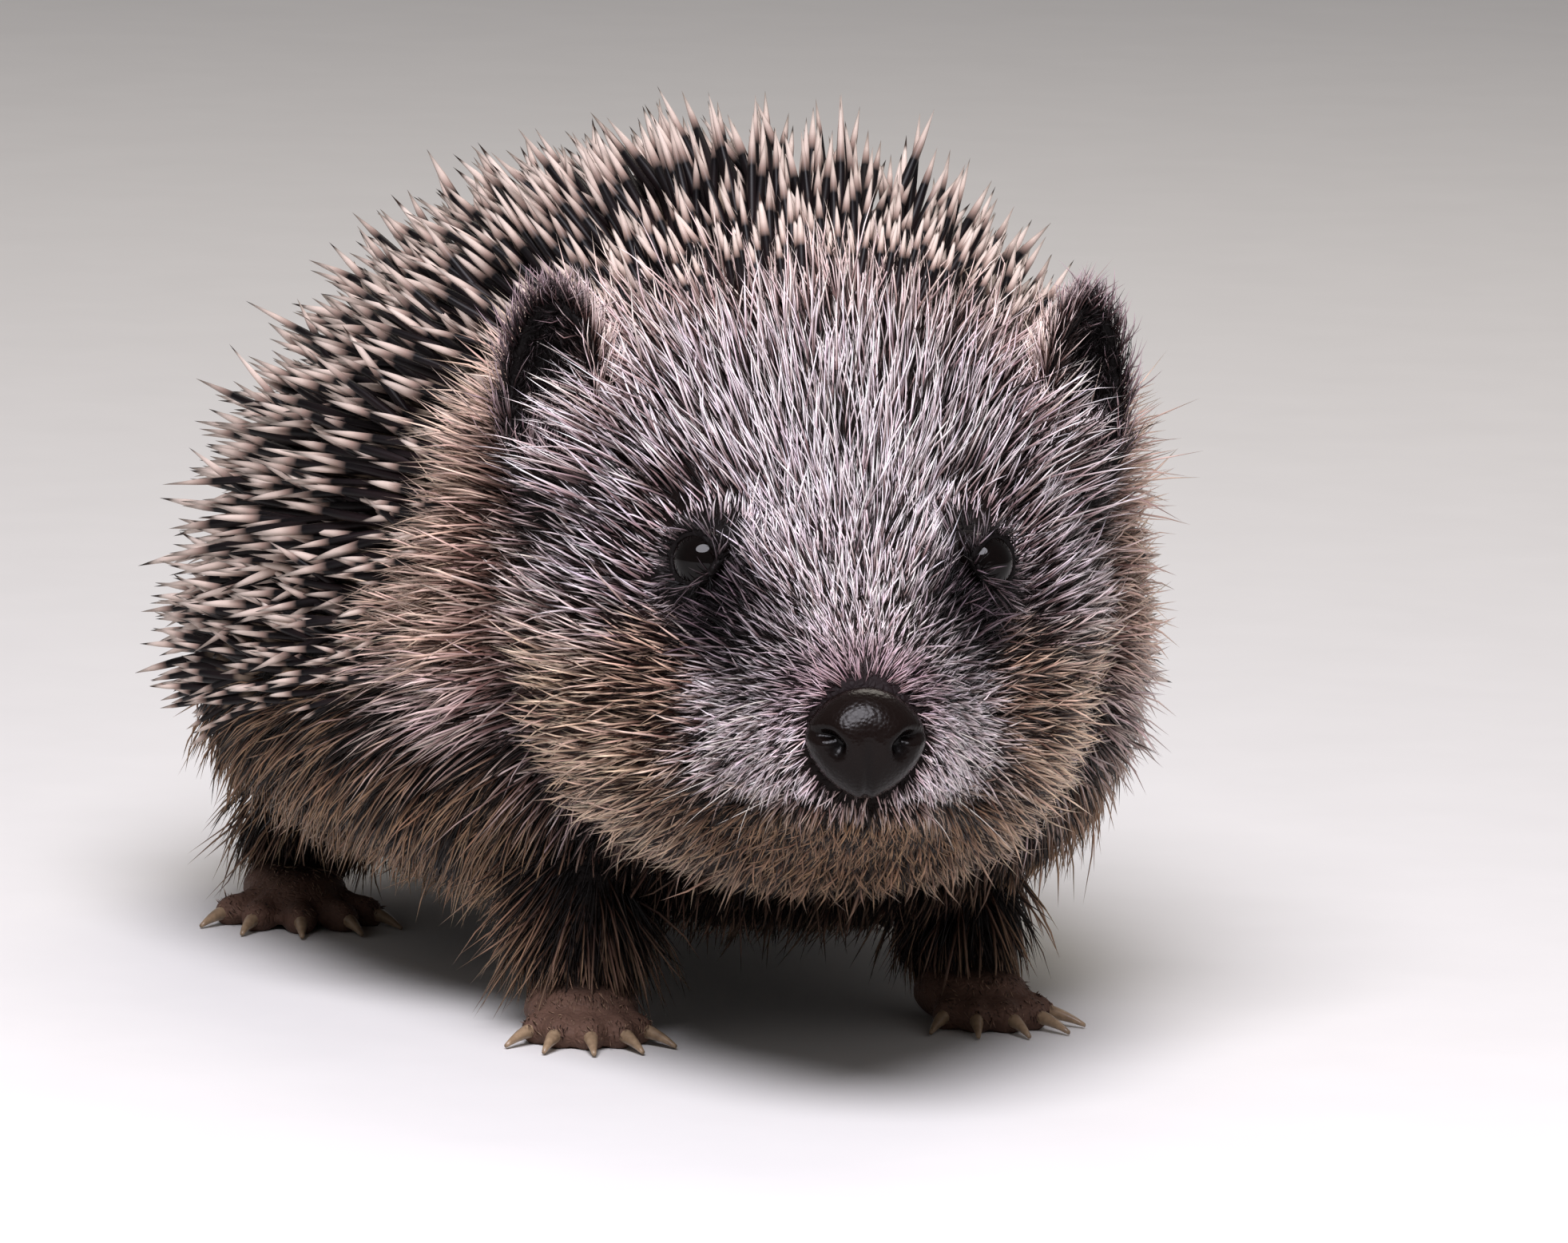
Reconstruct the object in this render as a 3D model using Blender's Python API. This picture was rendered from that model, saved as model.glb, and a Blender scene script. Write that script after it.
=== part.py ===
"""A young European hedgehog standing still on its four feet, with its head turned a little to its right.

Row frame: metres, +Z up, the body lies along Y with the nose towards -Y, and the animal's left is +X.
Every size below is in millimetres, measured to the tips of the coat. The body is a loft round a spine
line that is straight through the trunk and swings aside through the neck. The loft is parted into snout,
jaw, head, neck, shoulders, trunk and rump by thin cuts; ears, eyes, nose pad, tail, legs and paws join it.
"""

import math

import bmesh
import bpy
from mathutils import Matrix, Vector

MM = 0.001
GAP = 0.3  # the thin cut between two neighbouring solids

# Driving sizes of the animal.
BODY_LENGTH = 180.0  # nose tip to the tips of the rump spines
ORIGIN_BACK = 91.57  # distance from the nose tip's start to the row's origin, the middle of the base
HEAD_TURN = math.radians(14.0)  # the head turned to the animal's right
NECK_FRONT, NECK_REAR = 44.0, 92.0  # the stretch of spine line in which that turn happens
RUMP_ROUNDING_START = 112.0  # from here back the trunk closes to its rounded end
RUMP_ROUNDNESS = 2.15
RING_POINTS = 36

# Named stations of the body, back along the spine line from the nose tip. Each holds the station's
# distance, then half width, top height, height of the widest level and bottom height.
STATIONS = {
    "nose pad seat": (3.6, 5.6, 43.2, 37.8, 32.0),
    "lips": (7.0, 8.2, 45.8, 37.2, 28.6),
    "muzzle": (13.0, 10.8, 48.8, 36.8, 25.8),
    "eye corner": (20.0, 13.9, 53.0, 37.0, 23.2),
    "eyes": (27.0, 18.4, 59.0, 37.6, 20.6),
    "cheeks": (35.0, 24.0, 66.2, 38.6, 17.8),
    "ear fronts": (44.0, 28.4, 72.6, 39.6, 15.2),
    "ear backs": (53.0, 31.4, 78.0, 39.4, 12.8),
    "mantle edge": (61.0, 37.2, 82.4, 37.6, 9.8),
    "shoulders": (74.0, 43.0, 87.2, 35.5, 7.6),
    "fore trunk": (90.0, 46.2, 88.6, 33.5, 6.8),
    "mid trunk": (112.0, 47.4, 86.0, 32.0, 6.4),
    "hind trunk": (140.0, 47.2, 80.4, 31.0, 6.6),
    "rump": (164.0, 46.0, 75.4, 31.0, 7.6),
    "rump end": (BODY_LENGTH, 45.0, 73.0, 31.5, 8.4),
}
UPPER_FULLNESS = (2.4, 1.66)  # superellipse powers of the upper half, at the nose and at the rump
LOWER_FULLNESS = (2.2, 2.9)

# Where the thin cuts fall along the spine line.
CUTS = {"snout": 20.0, "head": 56.0, "neck": 70.0, "shoulders": 98.0, "trunk": 138.0}

NOSE_PAD = (5.3, 3.9, 5.3)  # half width, half depth, half height
NOSE_PAD_AT = (3.9, 38.0)  # distance back from the nose tip, height

MOUTH_FRONT = (3.0, 32.6)  # distance back, height
MOUTH_CORNER = (25.0, 30.0)

EYE_RADIUS = 3.1
EYE_AT = (27.0, 13.1, 51.6)  # distance back, half the space between the eyes, height

EAR_AT = (50.0, 26.0, 65.6)
EAR_HALF_SIZE = (6.3, 3.3, 9.2)  # half width, half thickness, half height
EAR_HOLLOW_HALF_SIZE = (4.9, 3.3, 7.7)
EAR_HOLLOW_FORWARD = 2.3
EAR_SPLAY = math.radians(38.0)
EAR_LEAN_OUT = math.radians(16.0)

TAIL_LENGTH, TAIL_RADII = 15.0, (3.2, 1.5)
TAIL_AT = (168.0, 19.0)
TAIL_DROOP = math.radians(32.0)

# Each leg: distance back of the paw, distance of the paw out from the spine line, and size of the foot.
LEGS = {
    "front_left": {"at": (71.0, 20.5), "toe_out": 8.0, "fore": True},
    "front_right": {"at": (65.0, 20.0), "toe_out": 4.0, "fore": True},
    "hind_left": {"at": (138.0, 25.5), "toe_out": 14.0, "fore": False},
    "hind_right": {"at": (145.0, 25.5), "toe_out": 14.0, "fore": False},
}
FORE_PAW = {"length": 13.0, "width": 11.4, "height": 6.4, "toe": 6.0, "toe_radius": 1.85, "claw": 4.0}
HIND_PAW = {"length": 21.0, "width": 10.6, "height": 6.2, "toe": 5.6, "toe_radius": 1.75, "claw": 3.4}
LEG_RADII = {True: (9.4, 4.8), False: (11.0, 4.8)}  # shoulder or hip, then wrist or hock, of fore and hind leg
LEG_LEAN = {True: (6.0, 1.6), False: (-5.0, 4.6)}  # how far back the leg's top is, and its foot on the palm
LEG_TOP = 30.0
TOES = ((-41.0, 0.86), (-19.5, 1.03), (1.5, 1.09), (22.0, 1.04), (43.0, 0.84))  # fan angle, share of the reach
TOE_SIDES = 7
CLAW_RADIUS = 0.75
SOLE_DEPTH = 0.7  # how much of the pads the flat soles take away

FINISHES = {
    "spiny coat": ((0.42, 0.36, 0.30), 0.75),
    "face fur": ((0.46, 0.41, 0.37), 0.80),
    "body fur": ((0.27, 0.21, 0.17), 0.85),
    "ear skin": ((0.12, 0.09, 0.085), 0.70),
    "paw skin": ((0.30, 0.22, 0.19), 0.60),
    "nose skin": ((0.035, 0.025, 0.024), 0.30),
    "eye": ((0.008, 0.006, 0.006), 0.04),
}


def clear_scene():
    for old in list(bpy.data.objects):
        bpy.data.objects.remove(old, do_unlink=True)


def material(name):
    """One Principled material for each kind of surface, made when it is first asked for."""
    found = bpy.data.materials.get(name)
    if found:
        return found
    colour, roughness = FINISHES[name]
    made = bpy.data.materials.new(name)
    made.use_nodes = True
    shader = made.node_tree.nodes["Principled BSDF"]
    shader.inputs["Base Color"].default_value = (*colour, 1.0)
    shader.inputs["Roughness"].default_value = roughness
    made.diffuse_color = (*colour, 1.0)
    return made


def smoothstep(low, high, value):
    share = min(max((value - low) / (high - low), 0.0), 1.0)
    return share * share * (3.0 - 2.0 * share)


def heading(back):
    """The spine line's turn away from +Y at this distance behind the nose tip."""
    return HEAD_TURN * (1.0 - smoothstep(NECK_FRONT, NECK_REAR, back))


def spine_point(back):
    """The spine line's place on the floor plan: straight behind the neck, summed in 1 mm steps before it."""
    along, aside = max(back, NECK_REAR), 0.0
    while along > back:
        step = min(1.0, along - back)
        along -= step
        aside -= step * math.sin(heading(along + step / 2))
    short = sum(1.0 - math.cos(heading(NECK_REAR - i - 0.5)) for i in range(int(max(0, NECK_REAR - back))))
    return Vector((aside, back + short - ORIGIN_BACK, 0.0))


def body_point(back, out, height):
    """A point of the animal: distance behind the nose tip, distance out to its left, and height."""
    turn = heading(back)
    left = Vector((math.cos(turn), -math.sin(turn), 0.0))
    return (spine_point(back) + left * out + Vector((0.0, 0.0, height))) * MM


def station_value(back, column):
    """A smooth curve through one column of STATIONS: a cubic through the two nearest, with mean slopes."""
    rows = list(STATIONS.values())
    at = [row[0] for row in rows]
    values = [row[column] for row in rows]
    back = min(max(back, at[0]), at[-1])
    i = max(k for k in range(len(at) - 1) if at[k] <= back)

    def slope(k):
        low, high = max(k - 1, 0), min(k + 1, len(at) - 1)
        return (values[high] - values[low]) / (at[high] - at[low])

    width = at[i + 1] - at[i]
    t = (back - at[i]) / width
    return (
        values[i] * (1 + 2 * t) * (1 - t) ** 2
        + values[i + 1] * t * t * (3 - 2 * t)
        + width * (slope(i) * t * (1 - t) ** 2 - slope(i + 1) * t * t * (1 - t))
    )


def rounding(back):
    """1 along the body, falling to 0 at the end of the rump along a superellipse."""
    share = max(0.0, (back - RUMP_ROUNDING_START) / (BODY_LENGTH - RUMP_ROUNDING_START))
    return max(0.0, 1.0 - share**RUMP_ROUNDNESS) ** (1.0 / RUMP_ROUNDNESS)


def power(value, exponent):
    return math.copysign(abs(value) ** exponent, value)


def body_ring(back, margin=0.0):
    """The outline of the body at one distance behind the nose tip, as a closed ring of points."""
    half_width, top, middle, bottom = (station_value(back, column) for column in (1, 2, 3, 4))
    closing = rounding(back)
    rearward = back / BODY_LENGTH
    ring = []
    for i in range(RING_POINTS):
        angle = 2.0 * math.pi * (i + 0.5) / RING_POINTS
        upper = math.sin(angle) > 0.0
        low, high = UPPER_FULLNESS if upper else LOWER_FULLNESS
        fullness = low + (high - low) * rearward
        rise = (top - middle) if upper else (middle - bottom)
        out = (half_width * closing + margin) * power(math.cos(angle), 2.0 / fullness)
        height = middle + (rise * closing + margin) * power(math.sin(angle), 2.0 / fullness)
        ring.append(body_point(back, out, height))
    return ring


def stations_between(front, rear, spacing):
    """Distances from front to rear about one spacing apart, and closer together where the rump rounds off."""
    count = max(2, round((rear - front) / spacing))
    even = [front + (rear - front) * i / count for i in range(count + 1)]
    if rear <= CUTS["trunk"] + GAP:
        return even
    return [front + (rear - front) * math.sin(math.pi / 2 * i / count) for i in range(count + 1)]


def new_object(name, bm, finish):
    mesh = bpy.data.meshes.new(name)
    bm.normal_update()
    bm.to_mesh(mesh)
    bm.free()
    made = bpy.data.objects.new(name, mesh)
    bpy.context.scene.collection.objects.link(made)
    mesh.materials.append(material(finish))
    mesh.shade_smooth()
    mesh.set_sharp_from_angle(angle=math.radians(50))
    return made


def loft(name, rings, finish):
    """A closed solid through rings of points: each ring is bridged to the next, and the ends are filled."""
    bm = bmesh.new()
    edges_before = None
    loops = []
    for ring in rings:
        verts = [bm.verts.new(point) for point in ring]
        loops.append([bm.edges.new((verts[i], verts[i - 1])) for i in range(len(verts))])
    for edges in loops:
        if edges_before:
            bmesh.ops.bridge_loops(bm, edges=edges_before + edges)
        edges_before = edges
    for edges in (loops[0], loops[-1]):
        bmesh.ops.holes_fill(bm, edges=edges)
    bmesh.ops.recalc_face_normals(bm, faces=bm.faces)
    return new_object(name, bm, finish)


def body_loft(name, front, rear, finish, spacing=4.0, margin=0.0):
    distances = stations_between(front, rear, spacing)
    return loft(name, [body_ring(back, margin) for back in distances], finish)


def ellipsoid(name, half_size, matrix, finish, segments=20, rings=12):
    bm = bmesh.new()
    scale = Matrix.Diagonal((*(size * MM for size in half_size), 1.0))
    bmesh.ops.create_uvsphere(bm, u_segments=segments, v_segments=rings, radius=1.0, matrix=matrix @ scale)
    return new_object(name, bm, finish)


def placed(back, out, height, *turns):
    """A matrix at a point of the animal, turned with the spine line there and then by the given turns."""
    matrix = Matrix.Translation(body_point(back, out, height)) @ Matrix.Rotation(-heading(back), 4, "Z")
    for angle, axis in turns:
        matrix = matrix @ Matrix.Rotation(angle, 4, axis)
    return matrix


def cutter(made):
    made.hide_render = True
    made.display_type = "WIRE"
    return made


def boolean(target, other, operation):
    modifier = target.modifiers.new(f"{operation.lower()} {other.name}", "BOOLEAN")
    modifier.operation = operation
    modifier.object = other
    modifier.solver = "EXACT"
    return target


def mouth_block(name, margin):
    """A block whose top is the mouth's plane and whose back is behind the mouth's corner."""
    front, corner = Vector((0, *MOUTH_FRONT)), Vector((0, *MOUTH_CORNER))
    slope = math.atan2(front.z - corner.z, corner.y - front.y)
    length, depth, width = corner.y - front.y + 12.0, 24.0, 60.0
    bm = bmesh.new()
    size = Matrix.Diagonal((width * MM, (length + margin) * MM, depth * MM, 1.0))
    lower = Matrix.Translation(Vector((0.0, -(length - margin) / 2, -depth / 2 + margin)) * MM)
    matrix = placed(*corner.yx, corner.z, (-slope, "X")) @ lower
    bmesh.ops.create_cube(bm, size=1.0, matrix=matrix @ size)
    return cutter(new_object(name, bm, "face fur"))


def make_body():
    """The loft of the body, parted into its named lengths and the jaw."""
    mouth_wide = mouth_block("mouth_cutter", GAP)
    mouth = mouth_block("jaw_limit", 0.0)
    finishes = {"snout": "face fur", "head": "face fur"}
    front = STATIONS["nose pad seat"][0] + GAP
    spacing = {"snout": 2.6, "head": 3.4, "neck": 3.6, "shoulders": 4.8, "trunk": 6.6}
    parts = {}
    for name, rear in CUTS.items():
        finish = finishes.get(name, "spiny coat")
        parts[name] = body_loft(name, front, rear - GAP / 2, finish, spacing[name])
        front = rear + GAP / 2
    parts["rump"] = body_loft("rump", front, BODY_LENGTH - 0.02, "spiny coat", 4.2)
    for name in ("snout", "head"):
        boolean(parts[name], mouth_wide, "DIFFERENCE")
    jaw = body_loft("jaw", STATIONS["nose pad seat"][0] + GAP, MOUTH_CORNER[0] + 6.0, "face fur", 2.8)
    boolean(jaw, mouth, "INTERSECT")
    return parts


def make_nose(snout):
    """The wet nose pad, flat behind where it meets the snout, with a nostril opening to each side."""
    back, height = NOSE_PAD_AT
    nose = ellipsoid("nose", NOSE_PAD, placed(back, 0.0, height), "nose skin", 20, 12)
    bm = bmesh.new()
    limit = placed(STATIONS["nose pad seat"][0], 0.0, height) @ Matrix.Translation((0.0, 0.02, 0.0))
    bmesh.ops.create_cube(bm, size=0.04, matrix=limit)
    boolean(nose, cutter(new_object("nose_back_cutter", bm, "nose skin")), "DIFFERENCE")
    for side, out in (("left", 3.5), ("right", -3.5)):
        matrix = placed(0.9, out, height - 0.2, (math.copysign(0.5, out), "Y"))
        boolean(nose, cutter(ellipsoid(f"nostril_{side}_cutter", (0.8, 1.5, 1.3), matrix, "nose skin", 8, 6)),
                "DIFFERENCE")
    return nose


def make_eyes(head, snout):
    for side, sign in (("left", 1.0), ("right", -1.0)):
        back, out, height = EYE_AT
        matrix = placed(back, sign * out, height)
        ellipsoid(f"eye_{side}", (EYE_RADIUS,) * 3, matrix, "eye", 16, 10)
        room = ellipsoid(f"eye_{side}_cutter", (EYE_RADIUS + GAP,) * 3, matrix, "eye", 14, 9)
        boolean(head, cutter(room), "DIFFERENCE")


def make_ears(body_room):
    """Thin cupped ears, hollowed in front and trimmed where they grow from the head."""
    for side, sign in (("left", 1.0), ("right", -1.0)):
        back, out, height = EAR_AT
        matrix = placed(back, sign * out, height, (sign * EAR_SPLAY, "Z"), (sign * EAR_LEAN_OUT, "Y"))
        ear = ellipsoid(f"ear_{side}", EAR_HALF_SIZE, matrix, "ear skin", 16, 12)
        hollow = matrix @ Matrix.Translation((0.0, -EAR_HOLLOW_FORWARD * MM, 0.0))
        cup = ellipsoid(f"ear_{side}_cutter", EAR_HOLLOW_HALF_SIZE, hollow, "ear skin", 16, 10)
        boolean(ear, cutter(cup), "DIFFERENCE")
        boolean(ear, body_room, "DIFFERENCE")


def make_tail(body_room):
    back, height = TAIL_AT
    bm = bmesh.new()
    base, tip = (radius * MM for radius in TAIL_RADII)
    matrix = placed(back, 0.0, height, (-math.pi / 2 - TAIL_DROOP, "X"))
    matrix = matrix @ Matrix.Translation((0.0, 0.0, TAIL_LENGTH * MM / 2))
    bmesh.ops.create_cone(bm, cap_ends=True, segments=14, radius1=base, radius2=tip,
                          depth=TAIL_LENGTH * MM, matrix=matrix)
    boolean(new_object("tail", bm, "body fur"), body_room, "DIFFERENCE")


def paw_frame(name, leg):
    """Where a paw stands: over its place on the floor, turned a little outward, sunk by the depth of its soles."""
    back, out = leg["at"]
    sign = 1.0 if name.endswith("left") else -1.0
    return placed(back, sign * out, -SOLE_DEPTH, (sign * math.radians(leg["toe_out"]), "Z"))


def palm_solid(solid_name, name, leg, margin=0.0):
    size = FORE_PAW if leg["fore"] else HIND_PAW
    lying = Matrix.Translation((0.0, 0.0, size["height"] * MM / 2)) @ Matrix.Rotation(math.radians(90.0), 4, "X")
    half = (size["width"] / 2 + margin, size["height"] / 2 + margin, size["length"] / 2 + margin)
    return ellipsoid(solid_name, half, paw_frame(name, leg) @ lying, "paw skin", 12, 8)


def make_leg(name, leg, body_room):
    """A short leg from the belly down onto the palm or heel, round in section."""
    size = FORE_PAW if leg["fore"] else HIND_PAW
    top, foot = LEG_RADII[leg["fore"]]
    low = size["height"] * 0.66
    lean, behind = LEG_LEAN[leg["fore"]]
    rings = []
    for i in range(7):
        share = i / 6
        radius = foot + (top - foot) * smoothstep(0.0, 1.0, share)
        centre = paw_frame(name, leg) @ (Vector((0.0, behind + lean * share, low + (LEG_TOP - low) * share)) * MM)
        rings.append([
            centre + Vector((math.cos(a), math.sin(a), 0.0)) * radius * MM
            for a in (2.0 * math.pi * k / 14 for k in range(14))
        ])
    made = loft(f"leg_{name}", rings, "body fur")
    boolean(made, cutter(palm_solid(f"leg_{name}_palm_cutter", name, leg, GAP)), "DIFFERENCE")
    boolean(made, body_room, "DIFFERENCE")


def make_toe(name, frame, stretch, size):
    """One toe with its claw, lofted along its length: knuckle, pad, then the claw curving down in front."""
    radius, claw = size["toe_radius"], size["claw"]
    profile = [  # distance ahead of the palm's centre, height of the centre line, radius
        (0.4, radius * 1.50, radius * 0.80),
        (stretch - size["toe"] * 0.5, radius * 1.42, radius * 0.98),
        (stretch, radius * 1.12, radius * 1.04),
        (stretch + size["toe"] * 0.34, radius * 1.02, radius * 0.80),
        (stretch + size["toe"] * 0.44, radius * 1.16, CLAW_RADIUS),
        (stretch + size["toe"] * 0.44 + claw * 0.55, radius * 1.02, CLAW_RADIUS * 0.78),
        (stretch + size["toe"] * 0.44 + claw, radius * 0.64, 0.26),
    ]
    rings = []
    for ahead, height, reach in profile:
        ring = []
        for k in range(TOE_SIDES):
            angle = 2.0 * math.pi * (k + 0.31) / TOE_SIDES
            ring.append(frame @ (Vector((math.cos(angle) * reach, -ahead, height + math.sin(angle) * reach)) * MM))
        rings.append(ring)
    return loft(name, rings, "paw skin")


def make_paw(name, leg):
    """A paw: the palm with five toes fanned in front of it, made one solid. The floor cuts its soles flat."""
    sign = 1.0 if name.endswith("left") else -1.0
    size = FORE_PAW if leg["fore"] else HIND_PAW
    palm = palm_solid(f"paw_{name}", name, leg)
    for i, (fan, share) in enumerate(TOES):
        turned = paw_frame(name, leg) @ Matrix.Rotation(sign * math.radians(fan), 4, "Z")
        toe = make_toe(f"paw_{name}_toe_{i}_cutter", turned, size["length"] * 0.52 * share, size)
        boolean(palm, cutter(toe), "UNION")
    return palm


def main():
    clear_scene()
    parts = make_body()
    body_room = cutter(body_loft("body_cutter", STATIONS["nose pad seat"][0] + 1.0, BODY_LENGTH - 0.02,
                                 "body fur", 5.0, GAP))
    make_nose(parts["snout"])
    make_eyes(parts["head"], parts["snout"])
    make_ears(body_room)
    make_tail(body_room)
    floor = bmesh.new()
    bmesh.ops.create_cube(floor, size=0.4, matrix=Matrix.Translation((0.0, 0.1, -0.2)))
    floor_cutter = cutter(new_object("floor_cutter", floor, "paw skin"))
    for name, leg in LEGS.items():
        paw = make_paw(name, leg)
        boolean(paw, floor_cutter, "DIFFERENCE")
        make_leg(name, leg, body_room)


main()
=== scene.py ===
# %% [markdown]
# A young hedgehog, standing still. The imported solids give its outline, measured to the tips of the spines
# and hairs. Here a bare skin is drawn inside that outline, and then every spine and hair is set into it, as
# they grow on the real animal. First the frame is loaded.

# %% Load the frame
import math
from collections import namedtuple

import bmesh
import bpy
import numpy as np
from mathutils import Matrix, Vector
from mathutils.kdtree import KDTree


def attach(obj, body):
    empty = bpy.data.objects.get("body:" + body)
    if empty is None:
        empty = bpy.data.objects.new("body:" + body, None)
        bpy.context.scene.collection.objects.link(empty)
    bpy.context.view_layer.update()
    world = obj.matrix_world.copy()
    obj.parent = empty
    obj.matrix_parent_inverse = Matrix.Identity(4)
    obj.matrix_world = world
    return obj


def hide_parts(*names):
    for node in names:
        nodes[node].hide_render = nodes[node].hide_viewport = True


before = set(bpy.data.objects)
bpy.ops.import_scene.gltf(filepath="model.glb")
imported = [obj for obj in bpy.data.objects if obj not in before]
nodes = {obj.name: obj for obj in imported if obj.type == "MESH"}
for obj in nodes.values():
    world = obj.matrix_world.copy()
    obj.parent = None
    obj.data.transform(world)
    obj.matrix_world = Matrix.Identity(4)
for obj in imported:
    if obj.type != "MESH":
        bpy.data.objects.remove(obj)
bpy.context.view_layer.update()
MM = 0.001
chance = np.random.default_rng(20260)

# %% [markdown]
# Colours are picked as sRGB hex values, the way a paint chart gives them, and one function turns them into
# the linear values that a renderer works with. A second one adds a shader node with its settings and links,
# so that each material below reads as a short list of what it is made of.

# %% Colours and shader nodes


def linear(hex_colour):
    values = [int(hex_colour[i : i + 2], 16) / 255.0 for i in (1, 3, 5)]
    return np.array([v / 12.92 if v <= 0.04045 else ((v + 0.055) / 1.055) ** 2.4 for v in values])


def add_node(tree, kind, settings=None, inputs=None, links=None, stops=()):
    """Adds a node, sets its properties, input values and colour stops, and links sockets into it."""
    node = tree.nodes.new("ShaderNode" + kind)
    for key, value in (settings or {}).items():
        setattr(node, key, value)
    for key, value in (inputs or {}).items():
        node.inputs[key].default_value = value
    for key, socket in (links or {}).items():
        tree.links.new(socket, node.inputs[key])
    for i, (position, colour) in enumerate(stops):
        elements = node.color_ramp.elements
        element = elements[i] if i < len(elements) else elements.new(position)
        element.position = position
        element.color = (*linear(colour), 1.0)
    return node


def new_material(name, describe, *details):
    """A material with one surface. A function adds its patterns and says its settings and links."""
    made = bpy.data.materials.new(name)
    made.use_nodes = True
    tree = made.node_tree
    tree.nodes.clear()
    settings, links = describe(tree, *details)
    surface = add_node(tree, "BsdfPrincipled", None, settings, links)
    add_node(tree, "OutputMaterial", links={"Surface": surface.outputs["BSDF"]})
    return made


def vary(tree, colour, amount, low, high):
    """Makes a colour low times to high times as bright, as an amount goes from 0 to 1."""
    factor = add_node(tree, "MapRange", inputs={"To Min": low, "To Max": high},
                      links={"Value": amount})
    varied = add_node(tree, "VectorMath", {"operation": "SCALE"},
                      links={"Vector": colour, "Scale": factor.outputs["Result"]})
    return varied.outputs["Vector"]


print("middle grey paint is", linear("#808080").round(3), "in linear light")

# %% [markdown]
# Everything on an animal follows its body: hair lies back along it, spines lean back along it, and markings
# sit at places such as "between the eyes". So each point gets body coordinates in millimetres: how far back
# it is from the nose along the spine line, how far out to the animal's left, and how high. The spine line
# is straight in the trunk and swings aside through the neck, as in the solids.

# %% Body coordinates
HEAD_TURN, NECK_FRONT, NECK_REAR, ORIGIN_BACK = math.radians(14.0), 44.0, 92.0, 91.57
DOWN = np.array([0.0, 0.0, -1.0])


def smooth(low, high, value):
    """Goes softly from 0 at low to 1 at high, or down again where low is the larger."""
    share = np.clip((np.asarray(value, float) - low) / (high - low), 0.0, 1.0)
    return share * share * (3.0 - 2.0 * share)


def mix(start, end, share):
    return start + (end - start) * share


def unit(vectors):
    return vectors / np.maximum(np.linalg.norm(vectors, axis=-1, keepdims=True), 1e-9)


def moved(points, matrix):
    matrix = np.array(matrix)
    return points @ matrix[:3, :3].T + matrix[:3, 3]


def distance_to(points, centres):
    """Distance of each point to the nearest of some centres."""
    return np.min([np.linalg.norm(points - centre, axis=1) for centre in centres], axis=0)


def heading(back):
    return HEAD_TURN * (1.0 - smooth(NECK_FRONT, NECK_REAR, back))


def body_axes(back):
    """Unit vectors back along the spine line and out to the left, for each distance back."""
    turn = heading(back)
    zero = np.zeros_like(turn)
    return np.stack([np.sin(turn), np.cos(turn), zero], 1), np.stack([np.cos(turn), -np.sin(turn), zero], 1)


SPINE_BACK = np.arange(-6.0, 196.0, 1.0)
step_turns = heading(SPINE_BACK[:-1] + 0.5)[::-1]
SPINE_X = np.concatenate([np.cumsum(np.sin(step_turns))[::-1] * -1.0, [0.0]])
SPINE_Y = SPINE_BACK[-1] - np.concatenate([np.cumsum(np.cos(step_turns))[::-1], [0.0]]) - ORIGIN_BACK


def body_point(back, out, height):
    """Row-frame point in millimetres from body coordinates."""
    turn = float(heading(back))
    x = np.interp(back, SPINE_BACK, SPINE_X) + out * math.cos(turn)
    y = np.interp(back, SPINE_BACK, SPINE_Y) - out * math.sin(turn)
    return np.array([x, y, height])


def body_coordinates(points):
    """(back, out, height) of each row-frame point in millimetres, worked out in batches to save memory."""
    backward, _ = body_axes(SPINE_BACK)
    back, out = np.empty(len(points)), np.empty(len(points))
    for start in range(0, len(points), 20000):
        part = slice(start, start + 20000)
        x, y = points[part, 0], points[part, 1]
        along = (x[:, None] - SPINE_X) * backward[:, 0] + (y[:, None] - SPINE_Y) * backward[:, 1]
        near = np.argmin(np.abs(along), axis=1)
        back[part] = SPINE_BACK[near] + along[np.arange(len(near)), near]
        out[part] = (x - SPINE_X[near]) * backward[near, 1] - (y - SPINE_Y[near]) * backward[near, 0]
    return back, out, points[:, 2].copy()


def placed(back, out, height, *turns):
    """A frame at a body point, turned with the body and then by each angle in degrees about its axis."""
    matrix = Matrix.Translation(body_point(back, out, height))
    matrix = matrix @ Matrix.Rotation(-float(heading(back)), 4, "Z")
    for angle, axis in turns:
        matrix = matrix @ Matrix.Rotation(math.radians(angle), 4, axis)
    return matrix


SIDES = {"left": 1.0, "right": -1.0}
EYE_BACK, EYE_OUT, EYE_HEIGHT, EYE_RADIUS = 27.0, 13.1, 51.6, 3.1
EAR_BACK, EAR_OUT, EAR_HEIGHT = 50.0, 26.2, 63.2
eyes = {side: body_point(EYE_BACK, sign * EYE_OUT, EYE_HEIGHT) for side, sign in SIDES.items()}
ears = {side: body_point(EAR_BACK, sign * EAR_OUT, EAR_HEIGHT) for side, sign in SIDES.items()}
print("eyes at", {side: np.round(at, 1).tolist() for side, at in eyes.items()})

# %% [markdown]
# The camera looks from low down at the animal's right front, from far off with a long lens, which keeps the
# face and the far flank at nearly the same scale. It is made first, so that every later step can be looked
# at.

# %% Camera
CAMERA_AZIMUTH, CAMERA_ELEVATION, CAMERA_DISTANCE, CAMERA_ROLL = -20.0, 8.0, 1.5, 1.3
VIEW_WIDTH = 0.1487  # metres across the picture at the face
AIM_LEFT, AIM_DOWN = 0.00557, 0.00568  # metres from the middle of the face to the middle of the picture
SENSOR = 36.0


def towards(azimuth, elevation):
    """Unit vector out from the animal, by angles in degrees: azimuth 0 is ahead of it and 90 at its left."""
    az, el = math.radians(azimuth), math.radians(elevation)
    return Vector((math.sin(az) * math.cos(el), -math.cos(az) * math.cos(el), math.sin(el)))


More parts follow.
